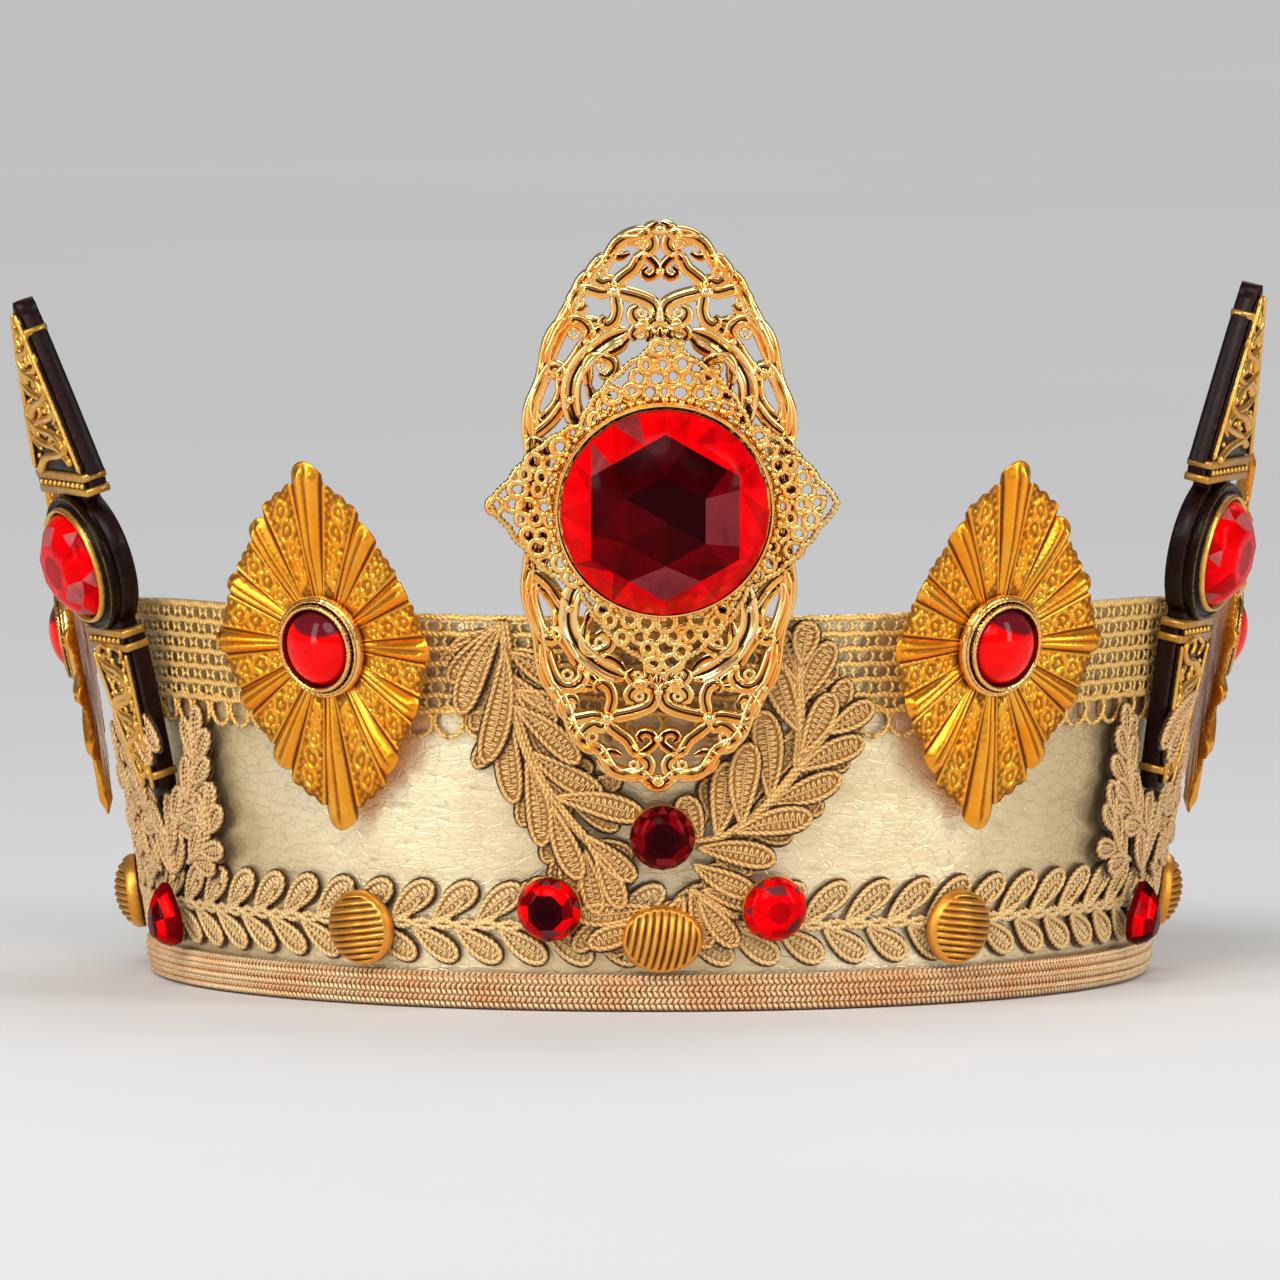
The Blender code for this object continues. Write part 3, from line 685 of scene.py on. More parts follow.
def leaf(pile, cloth_and_shadow, root, heading, length, width, curl, out, cord):
    """A drop of lace on fabric: a corded edge round satin stitches and a corded vein, over a
    painted shadow.
    """
    width = LEAF_SLIM * width
    spot = leaf_place(root, heading, curl)
    reach = width / 2 / LEAF_FULLEST
    phi = around(40)
    x, y = length * (1 - np.cos(phi)) / 2, reach * np.sin(phi) * np.sin(phi / 2)
    outline = spot(x, y)
    longer, wider = 1 + 1.1 / length, 1 + 1.6 / width
    wide = spot(length / 2 + (x - length / 2) * longer, y * wider)
    # Painted shadow: a dark patch at shade 0, a little larger than the leaf, under it. The paler
    # patch inside the outline is the fabric.
    fill(cloth_and_shadow, wide, out - cord * 1.1, 0.0)
    fill(cloth_and_shadow, outline, out - cord * 0.55, 0.40)
    edge = evenly(outline, 0.42, closed=True)
    strand(pile, band, edge, out, cord, 0.95, 7, True, (0.2, 2, 1.3))
    x = np.linspace(0.13 * length, 0.93 * length, max(14, int(length * 6.0)))
    turn = np.arccos(np.clip(1 - 2 * x / length, -1, 1))
    room = np.maximum(reach * np.sin(turn) * np.sin(turn / 2) - cord * 1.2, 0.08)
    satin = spot(x, room * np.sin(x * TAU / 0.94))
    strand(pile, band, satin, out - 0.12, cord * 0.44, 1.2, 5)
    x = np.arange(0.05 * length, 0.82 * length, 0.34)
    strand(pile, band, spot(x, 0 * x), out + 0.1, cord * 0.5, 1.0, 6, False, (0.3, 2, 1.0))


def stem(pile, line, out, radius=0.5):
    strand(pile, band, line, out, radius, 0.95, 7, False, (0.17, 2, 1.7))


def heading_at(line, index):
    a, b = line[max(index - 1, 0)], line[min(index + 1, len(line) - 1)]
    return math.atan2(b[1] - a[1], b[0] - a[0])


def branch(pile, cloth_and_shadow, points, leaves, spread, size, taper, last):
    """A stem with leaves to both sides and one at its end."""
    line = through(points, 0.5)
    stem(pile, line, LACE_OUT + 0.12)
    for k in range(leaves):
        share = (k + 0.5) / leaves
        index = int(share * (len(line) - 1))
        length, width = (a * (1 - (1 - taper) * share) for a in size)
        for side in (-1, 1):
            heading = heading_at(line, index) + side * spread
            out = LACE_OUT + (0.28 if (k + (side > 0)) % 2 else -0.18)
            leaf(pile, cloth_and_shadow, line[index], heading, length, width, -side * 0.045, out, 0.46)
    if last:
        heading = heading_at(line, len(line) - 1)
        length, width = (a * taper for a in size)
        leaf(pile, cloth_and_shadow, line[-1], heading, length, width, 0.0, LACE_OUT, 0.46)


# The front sprays: stems as points, and leaves as root, tip and width. Each point is the
# distance round the band and the height. All in tenths of a mm.
LEFT_STEMS = [
    (-244, 647, -240, 601, -240, 552, -227, 482, -202, 402, -163, 336, -115, 279, -66, 244),
]
LEFT_LEAVES = [
    (-235, 592, -165, 544, 42), (-236, 557, -167, 477, 44), (-230, 504, -132, 414, 46),
    (-209, 429, -97, 361, 46), (-170, 354, -32, 323, 48), (-123, 292, -45, 222, 42),
    (-244, 645, -336, 544, 48), (-244, 641, -318, 491, 50), (-241, 601, -282, 411, 50),
    (-240, 513, -237, 345, 48), (-213, 416, -194, 275, 46), (-175, 341, -132, 222, 46),
    (-155, 297, -152, 182, 42), (-123, 266, -104, 164, 42), (-107, 266, -67, 173, 40),
    (-232, 160, -195, 217, 38), (-17, 173, -138, 160, 44), (-13, 142, -118, 111, 42),
    (-83, 169, -144, 103, 38), (-225, 530, -150, 504, 36),
]
RIGHT_STEMS = [
    (41, 281, 94, 290, 134, 314, 175, 350, 210, 394, 237, 433, 269, 473),
    (214, 402, 216, 469, 209, 544, 210, 610),
    (41, 204, 75, 182, 121, 153),
]
RIGHT_LEAVES = [
    (57, 270, 182, 248, 48), (49, 244, 150, 195, 42), (114, 297, 238, 319, 50),
    (171, 345, 286, 385, 50), (214, 398, 321, 442, 48), (257, 460, 330, 504, 44),
    (61, 286, 34, 354, 48), (86, 290, 100, 411, 54), (126, 308, 135, 442, 56),
    (170, 350, 154, 495, 56), (216, 460, 168, 574, 50), (217, 425, 262, 522, 50),
    (214, 504, 263, 605, 50), (209, 544, 174, 627, 46), (212, 574, 221, 641, 48),
    (241, 442, 290, 544, 46), (46, 204, 74, 107, 44), (58, 191, 122, 111, 42),
    (66, 200, 155, 178, 42), (33, 191, 13, 134, 40),
]


def spray(name, stems, leaves):
    """A front motif: large leaves along its stems, and smaller ones under them."""
    cords, cloth_and_shadow = Pile(), Pile()
    for points in stems:
        line = through(np.reshape(points, (-1, 2)) / 10, 0.5)
        for offset, lift in ((-0.55, 0.05), (0.55, 0.0), (0.0, 0.25)):
            stem(cords, line + (offset, 0), LACE_OUT + lift, 0.42)
    for index, row in enumerate(leaves):
        x, z, tip_x, tip_z, width = (value / 10 for value in row)
        dx, dz = tip_x - x, tip_z - z
        length = math.hypot(dx, dz)
        bend = 0.022 if index % 2 else -0.022
        heading = math.atan2(dz, dx) - bend * length / 2
        lift = LACE_OUT - 0.2 + 0.46 * (index % 3)
        leaf(cords, cloth_and_shadow, (x, z), heading, length, 0.88 * width, bend, lift, 0.42)
        beside, short, narrow = (x + 0.16 * dx, z + 0.16 * dz), 0.62 * length, 0.68 * width
        for turn in (-0.48, 0.48):
            out = LACE_OUT - 0.95
            leaf(cords, cloth_and_shadow, beside, heading + turn, short, narrow, 0.0, out, 0.36)
    make(name + "_cords", cords, SPRAY, name)
    make(name + "_cloth", cloth_and_shadow, SPRAY)


spray("front_spray_left", LEFT_STEMS, LEFT_LEAVES)
spray("front_spray_right", RIGHT_STEMS, RIGHT_LEAVES)

# The lace under each spire: a stem's points in (degrees from the spire, height), its leaves
# to a side, their spread, length and width, their last share of that, and an end leaf.
SIDE_LACE = [
    ([(0.0, 17.5), (0.0, 22.0), (0.6, 27.0)], 3, 0.75, (8.0, 3.8), 0.95, False),
    ([(1.0, 26.0), (5.5, 30.0), (8.6, 36.0), (9.6, 42.0)], 5, 0.62, (8.5, 3.8), 0.85, True),
    ([(-1.0, 26.0), (-5.0, 30.0), (-7.6, 35.5), (-8.8, 41.0)], 5, 0.62, (8.0, 3.6), 0.85, True),
    ([(8.0, 28.0), (13.0, 31.5), (16.4, 37.0)], 4, 0.6, (7.6, 3.5), 0.85, True),
    ([(-4.0, 21.0), (-8.0, 24.0), (-9.5, 29.0)], 3, 0.65, (7.0, 3.4), 0.9, True),
    ([(3.0, 19.0), (8.0, 22.0), (12.5, 25.0)], 4, 0.6, (7.4, 3.4), 0.85, True),
    ([(9.6, 38.0), (11.0, 43.0), (12.5, 47.0)], 3, 0.6, (7.4, 3.4), 0.85, True),
]
SIDES = (("left", -1), ("right", 1))
SPIRE_ANGLES = {"left": -65.0, "right": 66.9}


def side_lace(side_name, side):
    middle = SPIRE_ANGLES[side_name]
    cords, cloth_and_shadow = Pile(), Pile()
    for points, *rest in SIDE_LACE:
        points = [(length_at(middle + side * (t + 1.6)), z) for t, z in points]
        branch(cords, cloth_and_shadow, points, *rest)
    over_cords, over_cloth_and_shadow = Pile(), Pile()
    for start, height, turn, length in ((3.0, 48.6, 0.36, 15.0), (1.5, 46.6, 0.75, 11.0)):
        root = (length_at(middle + side * start), height)
        heading = math.pi + turn if side > 0 else -turn
        leaf(over_cords, over_cloth_and_shadow, root, heading, length, 4.2, side * 0.03, 6.9, 0.44)
    make(f"side_lace_{side_name}_cords", cords, LACE, "side_lace_" + side_name)
    make(f"side_lace_{side_name}_cloth", cloth_and_shadow, LACE)
    make(f"foot_leaves_{side_name}_cords", over_cords, LACE)
    make(f"foot_leaves_{side_name}_cloth", over_cloth_and_shadow, LACE)


side_lace(*SIDES[0])
side_lace(*SIDES[1])


# --- vine trim


def vine_trim():
    """A wavy double stem with curled leaves above and below, all leaning one way."""
    count = 72
    pitch = ROUND / count
    upper, lower, cloth_and_shadow, stems = Pile(), Pile(), Pile(), Pile()
    up, down = math.radians(46), math.radians(-42)
    for k in range(count):
        s = -ROUND / 2 + k * pitch
        leaf(upper, cloth_and_shadow, (s, 14.2), up, 10.0, 4.3, -0.035, 1.02, 0.44)
        leaf(lower, cloth_and_shadow, (s + pitch * 0.5, 13.6), down, 9.4, 4.0, 0.035, 0.98, 0.44)
        line = through([(s - 2.4, 14.9), (s, 14.2), (s + 3.0, 14.9), (s + 6.2, 18.2)], 0.5)
        strand(upper, band, line, 1.25, 0.36, 0.9, 6, False, (0.16, 2, 1.4))
    s = -ROUND / 2 + ROUND * np.arange(1300) / 1300
    for phase, out in ((0.0, 1.12), (math.pi, 1.02)):
        line = np.stack([s, 13.9 + 0.55 * np.sin(s * TAU / pitch + phase)], -1)
        strand(stems, band, line, out, 0.5, 0.92, 7, True, (0.17, 2, 1.7))
    make("vine_leaves_upper", upper, TRIM, "vine_trim")
    make("vine_leaves_lower", lower, TRIM)
    make("vine_cloth", cloth_and_shadow, TRIM)
    make("vine_stems", stems, TRIM)


vine_trim()


# --- ladder trim


def ladder_trim():
    """Rows of cord tied by upright bars, with a row of loops along the bottom."""
    rows = (-0.1, 2.6, 5.1, 7.6, 10.2, 12.8, 15.4)
    cords, bars, loops = Pile(), Pile(), Pile()
    s = -ROUND / 2 + ROUND * np.arange(1200) / 1200
    for index, down in enumerate(rows):
        wave = 0.12 * np.sin(s * TAU * round(ROUND / 4) / ROUND + index)
        line = np.stack([s, down + wave], -1)
        strand(cords, below_rim, line, 1.18, 0.5, 0.72, 6, True, (0.2, 2, 1.8))
    count = int(ROUND / 1.9)
    for index, (top, bottom) in enumerate(zip(rows, rows[1:])):
        for k in range(count):
            at = -ROUND / 2 + (k + 0.5 * (index % 2)) * ROUND / count
            bow = 0.35 if (k + index) % 2 else -0.35
            line = [(at - bow, top), (at + bow, (top + bottom) / 2), (at - bow, bottom)]
            strand(bars, below_rim, line, np.array([0.9, 1.05, 0.9]), 0.40, 0.75, 5)
    count, phi = int(ROUND / 5.3), around(26)
    for k in range(count):
        at = -ROUND / 2 + k * ROUND / count
        line = np.stack([at + 2.5 * np.sin(phi), 17.2 + 2.45 * np.cos(phi)], -1)
        out = 0.95 + 0.18 * np.sin(phi)
        strand(loops, below_rim, line, out, 0.42, 6 / 7, 6, True, (0.2, 2, 1.6))
    make("ladder_cords", cords, LADDER, "ladder_trim")
    make("ladder_bars", bars, LADDER)
    make("ladder_loops", loops, LADDER)


ladder_trim()


# --- front plaque, in its own frame in mm, with the gem's middle at (0, 0)

PLAQUE = station(0, 84.0, 4.6, 10)
plaque = rolled(*PLAQUE, 150.0)
gem_plane = plane(*PLAQUE)

OVAL_HALF = np.array([22.35, 47.8])
OVAL_SHIFT = -0.8
IN_FROM_RIM = 1.3

# Each scroll is its half width in mm, and its points in tenths of a mm: out from the
# oval's middle line, and up. It is drawn four times: left and right, above and below.
SCROLLS = [
    (0.85, [84, 425, 65, 440, 46, 450, 30, 453, 18, 449, 12, 439, 14, 428, 23, 422, 33, 425]),
    (0.85, [76, 412, 89, 409, 103, 402, 109, 389, 104, 376, 93, 369, 81, 372, 74.5, 357]),
    (0.80, [74.5, 357, 70, 370, 56, 383, 45, 392, 38, 403, 32, 413, 23, 422]),
    (0.62, [39, 406, 27, 415, 15, 409, 5, 396, 9, 384, 20, 380, 28, 388, 21, 397]),
    (0.90, [74.5, 357, 56, 352, 40, 348, 23.5, 342, 11, 334, 6, 321, 8, 309, 19, 302, 32, 304,
            42, 313, 43, 324, 35, 330]),
    (0.85, [74.5, 357, 95, 354, 121, 359, 135, 351, 142, 340, 138, 327, 127, 324, 120, 332]),
    (0.80, [74.5, 357, 71, 340, 69, 324, 74, 307, 85, 299, 94, 305, 89, 313]),
    (0.66, [166, 309, 156, 326, 140, 342]),
    (0.72, [126, 312, 112, 306, 96, 306]),
    (0.90, [120, 272, 115, 289, 123, 302, 137, 307, 151, 301, 161, 287, 172, 262, 183, 234]),
    (1.25, [52, 289, 80, 277, 101, 262, 121, 244, 135, 223, 143, 201, 144, 176, 139, 150, 126,
            130]),
    (0.75, [115, 195, 117, 218, 116, 235, 107, 245, 91, 246, 77, 238, 75, 224, 86, 214, 98,
            218]),
    (0.62, [116, 202, 109, 182, 94, 175, 80, 184]),
    (0.72, [20, 272, 16, 287, 26, 297, 39, 294, 45, 283, 38, 275]),
    (0.85, [207, 115, 205, 160, 193, 198, 179, 223, 166, 227, 161, 215, 170, 207]),
    (0.80, [144, 178, 160, 159, 176, 137, 195, 120, 210, 112]),
    (0.70, [163, 215, 160, 187, 172, 160, 192, 140]),
    (0.80, [214, 10, 198, 36, 187, 66, 189, 94, 203, 104, 213, 92, 206, 80]),
    (0.70, [173, 208, 152, 226, 132, 254, 122, 276]),
    (0.66, [114, 412, 126, 404, 136, 389, 132, 374, 121, 372]),
    (0.66, [156, 350, 164, 332, 176, 306, 186, 280, 184, 264, 172, 262]),
    (0.60, [50, 419, 62, 413, 74, 416, 83, 424]),
    (0.60, [9, 306, 2, 290, 0, 276]),
    (0.62, [89, 300, 104, 288, 116, 276]),
    (0.62, [192, 202, 203, 170, 200, 142, 186, 132]),
    (0.62, [96, 264, 82, 254, 64, 262, 50, 278]),
]
# Small rings and beads on the scrolls: out, up and radius.
EYES = [
    (3.2, 43.5, 0.62), (9.3, 38.9, 0.7), (2.9, 32.0, 0.6), (13.0, 33.9, 0.6),
    (13.9, 28.5, 0.75), (9.2, 23.0, 0.7), (17.9, 21.6, 0.5), (3.1, 28.4, 0.5),
]
BEADS = [
    (0.0, 46.0, 1.1), (7.45, 35.7, 1.2), (0.0, 39.0, 0.8), (0.0, 31.2, 0.8),
    (11.9, 27.2, 0.7), (16.6, 30.9, 0.6), (14.4, 17.4, 0.8),
]

# A scroll's section: across, up and shade. Bright raised edges, and a hollow between them whose
# low shade paints it dark: painted shade.
TROUGH = [
    (-1.0, -0.5, 0.5), (-1.0, 0.5, 0.8), (-0.84, 0.88, 1.0), (-0.60, 0.95, 1.0),
    (-0.36, 0.58, 0.8), (-0.11, 0.24, 0.08), (0.11, 0.24, 0.08), (0.36, 0.58, 0.8),
    (0.60, 0.95, 1.0), (0.84, 0.88, 1.0), (1.0, 0.5, 0.8), (1.0, -0.5, 0.5),
]


def oval_width(share):
    """The oval's half width at a share of its half height. Its lower end is rounder."""
    shoulder = 0.25
    rise = np.where(share < 0, 1.9, 1.65)
    past = np.maximum(0.0, (np.abs(share) - shoulder) / (1 - shoulder))
    return np.maximum(0.0, 1 - past**rise) ** (1 / rise)


def in_oval(points):
    """Points of the upper pattern, spread to suit the lower end and kept inside the rim."""
    points = np.array(points, float)
    share = points[:, 1] / OVAL_HALF[1]
    spread = np.minimum(oval_width(share) / np.maximum(oval_width(np.abs(share)), 0.05), 1.35)
    room = np.maximum(OVAL_HALF[0] * oval_width(share) - IN_FROM_RIM, 0.0)
    points[:, 0] = OVAL_SHIFT + np.clip((points[:, 0] - OVAL_SHIFT) * spread, -room, room)
    return points


def channel(pile, line, width, out, rise):
    """A scroll pressed as a trough, narrower at its ends."""
    across, up, shade = np.transpose(TROUGH)
    ahead = unit(np.gradient(line, axis=0))
    beside = np.stack([-ahead[:, 1], ahead[:, 0]], -1)
    count, sides = len(line), len(TROUGH)
    end = np.minimum(np.arange(count), np.arange(count)[::-1])[:, None] / 4.0
    size = width * np.clip(0.45 + 0.55 * end, 0.45, 1.0)
    flat = line[:, None] + beside[:, None] * (across * size)[..., None]
    height = out + rise * up * np.clip(0.6 + 0.4 * end, 0.6, 1.0)
    points, _ = plaque(flat[..., 0], flat[..., 1], height)
    k = np.arange(1, sides - 1)
    first = np.stack([np.zeros_like(k), k, k + 1], -1)
    caps = np.concatenate([first, first[:, ::-1] + (count - 1) * sides])
    shade = np.broadcast_to(shade, (count, sides))
    pile.add(points, shade, grid_faces(count, sides, False, True), caps)


def four_ways(x, y):
    for side in (-1, 1) if x else (1,):
        for up in (-1, 1):
            yield OVAL_SHIFT + side * x, up * y


def filigree():
    scrolls, rim, beads = Pile(), Pile(), Pile()
    for width, numbers in SCROLLS:
        corners = [list(four_ways(x or 1e-6, y)) for x, y in np.reshape(numbers, (-1, 2)) / 10]
        for copy in range(4):
            line = through([c[copy] for c in corners], 0.42)
            channel(scrolls, in_oval(line), width * 1.36, 0.15, 1.15)
    phi = around(18)
    for x, y, radius in EYES:
        for u, v in in_oval(list(four_ways(x, y))):
            line = np.stack([u + radius * np.cos(phi), v + radius * np.sin(phi)], -1)
            strand(beads, plaque, line, 0.75, 0.36, 1.0, 7, True)
    for x, y, radius in BEADS:
        for u, v in in_oval(list(four_ways(x, y))):
            bead(beads, plaque, u, v, 0.9, radius)
    share = np.cos(np.linspace(0, math.pi, 200))
    right = np.stack([oval_width(share), share], -1)
    line = np.concatenate([right, right[-2:0:-1] * (-1, 1)]) * (OVAL_HALF - 0.9)
    turn = np.arctan2(line[:, 0] / OVAL_HALF[0], line[:, 1] / OVAL_HALF[1])
    line = line * (0.985 + 0.017 * np.cos(turn * 20))[:, None]
    channel(rim, evenly(line, 0.35, closed=True) + (OVAL_SHIFT, 0), 1.1, 0.2, 1.1)
    make("filigree_scrolls", scrolls, BRIGHT, "filigree_oval", sharp=60)
    make("filigree_rim", rim, BRIGHT, sharp=60)
    make("filigree_beads", beads, BRIGHT)


def star_reach(angle):
    """Four points, each narrowing to its tip, with the net drawn in between them."""
    lobe = np.abs(1 - (np.asarray(angle) / TAU * 48 % 12) / 6)
    return 19.4 + 7.2 * lobe + 1.9 * lobe**6


def star_net():
    """A net of small rings and grains, with a beaded edge and a ring of grains inside."""
    rng = np.random.default_rng(11)
    rings, grains, edge = Pile(), Pile(), Pile()
    pitch, phi = 2.75, around(12)
    for row in range(-14, 15):
        for column in range(-14, 15):
            x = (column + 0.5 * (row % 2)) * pitch + rng.uniform(-0.5, 0.5)
            y = row * pitch * 0.866 + rng.uniform(-0.45, 0.45)
            radius = rng.uniform(1.05, 1.4)
            lift = rng.uniform(-0.2, 0.35)
            stretch = rng.uniform(0.75, 1.2)
            reach = math.hypot(x, y)
            if reach < 16.6 or reach > star_reach(math.atan2(y, x) % TAU) - 0.8:
                continue
            line = np.stack([x + radius * stretch * np.cos(phi), y + radius * np.sin(phi)], -1)
            strand(rings, plaque, line, 2.0 + lift, rng.uniform(0.45, 0.66), 0.95, 7, True)
            bead(grains, plaque, x + pitch / 2, y + 0.8, 2.4 + lift, 0.62, 1.0, 8)
    angle = around(480)
    reach = star_reach(angle) - 0.5 + 0.4 * np.abs(np.sin(angle * 20))
    line = evenly(np.stack([reach * np.cos(angle), reach * np.sin(angle)], -1), 0.32, closed=True)
    strand(edge, plaque, line, 2.05, 0.5, 0.95, 8, True, (0.25, 2, 1.7))
    for a in around(84):
        reach, size = 18.1 + rng.uniform(-0.3, 0.5), rng.uniform(0.5, 0.85)
        x, y, out = reach * math.cos(a), reach * math.sin(a), 2.75 + rng.uniform(-0.2, 0.4)
        bead(grains, plaque, x, y, out, size, 1.0, 8)
    make("star_net_rings", rings, NET_GOLD, "filigree_star")
    make("star_net_grains", grains, NET_GOLD)
    make("star_net_edge", edge, NET_GOLD)


def cup():
    pile = Pile()
    profile = [
        (0.05, 3.55), (16.2, 3.55), (17.25, 3.6), (17.3, 4.8), (17.45, 5.1), (17.7, 5.1),
        (17.9, 4.7), (17.95, 3.2), (17.6, 2.85), (16.2, 2.8), (0.05, 2.8),
    ]
    lathe(pile, gem_plane, profile, 144)
    make("gem_cup_rim", pile, NET_GOLD, "gem_cup", sharp=50)


filigree()
star_net()
cup()


# --- stones

# Tones for the facets of the stones, all painted light: bright red for light that a stone throws
# back, deeper reds to near black for shade in it, and dusky for a greyish reflection.
BRIGHT_RED = (0.95, 0.0, 0.002)
MID_RED = (0.50, 0.0, 0.002)
MAROON = (0.17, 0.0, 0.002)
DEEP = (0.055, 0.0, 0.001)
BLACK_RED = (0.016, 0.0, 0.001)
DUSKY = (0.20, 0.022, 0.028)


def scaled(colour, share):
    return tuple(min(1.0, c * share) for c in colour)


def circle(count, radius, height, phase=0.0):
    turn = around(count) + phase
    return np.stack([radius * np.sin(turn), radius * np.cos(turn), np.full(count, height)], -1)


class Stone:
    """A stone of flat facets, each with its own tone of painted light."""

    def __init__(self):
        self.points, self.tris, self.tones = [], [], []

    def ring(self, points):
        first = len(self.points)
        self.points += [tuple(p) for p in points]
        return list(range(first, len(self.points)))

    def face(self, corners, tone):
        for b, c in zip(corners[1:], corners[2:]):
            self.tris.append((corners[0], b, c))
            self.tones.append(tone)

    def join(self, lower, upper, tone):
        """Triangles between two rings, clockwise from the top. tone(i, count) is each one's."""

        def turn(i):
            x, y, _ = self.points[i]
            return math.atan2(x, y) % TAU

        a, b = sorted(lower, key=turn), sorted(upper, key=turn)
        i = j = 0
        for step in range(len(a) + len(b)):
            ai, bj = a[i % len(a)], b[j % len(b)]
            an, bn = a[(i + 1) % len(a)], b[(j + 1) % len(b)]
            next_a = turn(an) + TAU * ((i + 1) // len(a))
            next_b = turn(bn) + TAU * ((j + 1) // len(b))
            on_lower = j >= len(b) or (i < len(a) and next_a <= next_b)
            self.face((ai, bj, an if on_lower else bn), tone(step, len(a) + len(b)))
            i, j = i + on_lower, j + (not on_lower)

    def build(self, name, surface, out, node):
        x, y, z = np.transpose(self.points)
        placed, _ = surface(x, y, z + out)
        tris = np.array(self.tris)
        a, b, c = (placed[corner] for corner in tris.T)
        inward = (np.cross(b - a, c - a) * ((a + b + c) / 3 - placed.mean(0))).sum(1) < 0
        tris[inward] = tris[inward][:, ::-1]
        pile = Pile()
        pile.add(placed, 0.8, tris=tris)
        make(name, pile, RUBY, node, tones=self.tones, facets=True)


def front_gem():
    """A round stone with a hexagonal crown of kites and steps, cut a little unevenly."""
    stone = Stone()
    base, low, high = (stone.ring(circle(24, r, h)) for r, h in ((16.9, 0), (17, 1), (17, 2.5)))
    step, table = stone.ring(circle(6, 13.9, 5.9)), stone.ring(circle(6, 7.5, 8.3))
    corners = [np.array(stone.points[i]) for i in step]
    cut = (0.27, 0.16, 0.16, 0.48, 0.30, 0.27)
    before, after = (
        stone.ring([corners[k] + cut[k] * (corners[(k + way) % 6] - corners[k]) for k in range(6)])
        for way in (-1, 1)
    )
    # Painted light on the crown: the girdle deep, and the ring of facets bright red at varied
    # strength, with a few greyish and deeper ones for reflections and shade.
    stone.join(base, low, lambda i, count: MAROON)
    stone.join(low, high, lambda i, count: MID_RED)
    crown = [0.95, 0.8, 1.0, 0.72, 1.0, 0.9, 0.6, 1.0, 0.85, 1.0, 0.7, 0.95, 1.0, 0.8]

    def ring_tone(i, count):
        if i % 3 == 0 and 0.80 < i / count < 0.99:
            return (0.30, 0.03, 0.03)
        if i % 3 == 0 and 0.55 < i / count < 0.70:
            return (0.34, 0.0, 0.002)
        return scaled(BRIGHT_RED, crown[i % len(crown)])

    stone.join(high, step + before + after, ring_tone)
    # Painted shade: the table and the facets round it are deep to near black, with a few dusky
    # ones for a reflection.
    sides = [(DEEP, 0.5), (DUSKY, 1), (MAROON, 0.6), (MAROON, 0.55), (DEEP, 1.2), (DEEP, 0.6)]
    kites = [(DEEP, 1), (MAROON, 0.7), (MAROON, 0.9), (DUSKY, 1.15), (MAROON, 0.8), (DEEP, 1)]
    middles = [(BLACK_RED, 1), (BLACK_RED, 1), (DEEP, 0.7), (DEEP, 1), (DEEP, 1.3), (BLACK_RED, 1)]
    centre = stone.ring([(0, 0, 8.35)])[0]
    for k in range(6):
        nxt = (k + 1) % 6
        quad = [table[k], after[k], before[nxt], table[nxt]]
        hub = stone.ring([np.mean([stone.points[i] for i in quad], axis=0) + (0, 0, 0.02)])[0]
        shares = (1, 1, 1, 1) if k == 1 else (1.0, 0.72, 1.0, 1.25)
        for (a, b), share in zip(zip(quad, quad[1:] + quad[:1]), shares):
            stone.face((a, b, hub), scaled(scaled(*sides[k]), share))
        stone.face((table[k], before[k], step[k], after[k]), scaled(*kites[k]))
        stone.face((table[k], table[nxt], centre), scaled(*middles[k]))
    stone.build("front_gem_cut", gem_plane, 3.9, "front_gem")


def round_stone(name, surface, out, tones, heart_tone, node, size=5.35, height=3.4, tip=0.58):
    stone = Stone()
    base = stone.ring(circle(16, size * 0.95, 0))
    girdle = stone.ring(circle(16, size, height * 0.26))
    shoulder = stone.ring(circle(16, size * 0.83, height * 0.66, math.pi / 16))
    table = stone.ring(circle(8, size * tip, height, math.pi / 8))
    heart = stone.ring(circle(8, size * tip * 0.62, height + 0.02))
    centre = stone.ring([(0, 0, height + 0.03)])[0]
    # The tones are painted light: a deep girdle, the given tones on the crown, and a ring on the
    # table brighter than its heart.
    stone.join(base, girdle, lambda i, count: MAROON)
    stone.join(girdle, shoulder, lambda i, count: tones[(i * 2 + 1) % len(tones)])
    stone.join(shoulder, table, lambda i, count: tones[(i // 3) % len(tones)])
    stone.join(table, heart, lambda i, count: scaled(heart_tone, 1.6 if i % 4 else 2.6))
    for a, b in zip(heart, heart[1:] + heart[:1]):
        stone.face((a, b, centre), heart_tone)
    stone.build(name, surface, out, node)


def drop_stone(name, surface, node):
    """A teardrop, point up."""
    stone = Stone()
    turn = around(16) + math.pi
    x, y = 5.2 * np.sin(turn) * np.abs(np.sin(turn / 2)), 5.5 * np.cos(turn) + 1.2
    rings = [
        stone.ring(np.stack([size * x, size * y - 1.2, np.full(16, height)], -1))
        for size, height in ((0.93, 0), (1.0, 1.2), (0.8, 2.9), (0.52, 4.0))
    ]
    # Painted light: the facets take bright, deep and dusky tones in turn.
    tones = [BRIGHT_RED, MAROON, MID_RED, DEEP, BRIGHT_RED, MID_RED, BLACK_RED, MAROON]
    for level, (a, b) in enumerate(zip(rings, rings[1:])):
        for i in range(16):
            j = (i + 1) % 16
            tone = tones[(i // 2 + 3 * level) % 8] if level else MAROON
            stone.face((a[i], a[j], b[j], b[i]), tone)
    base, top = rings[0], rings[-1]
    centre = stone.ring([np.mean([stone.points[i] for i in top], axis=0) + (0, 0, 0.05)])[0]
    for i in range(16):
        tone = DUSKY if i in (6, 7, 8, 9) else (DEEP if i % 3 else MAROON)
        stone.face((top[i], top[(i + 1) % 16], centre), tone)
    for i in range(1, 15):
        stone.face((base[0], base[i + 1], base[i]), DEEP)
    stone.build(name, surface, 0, node)


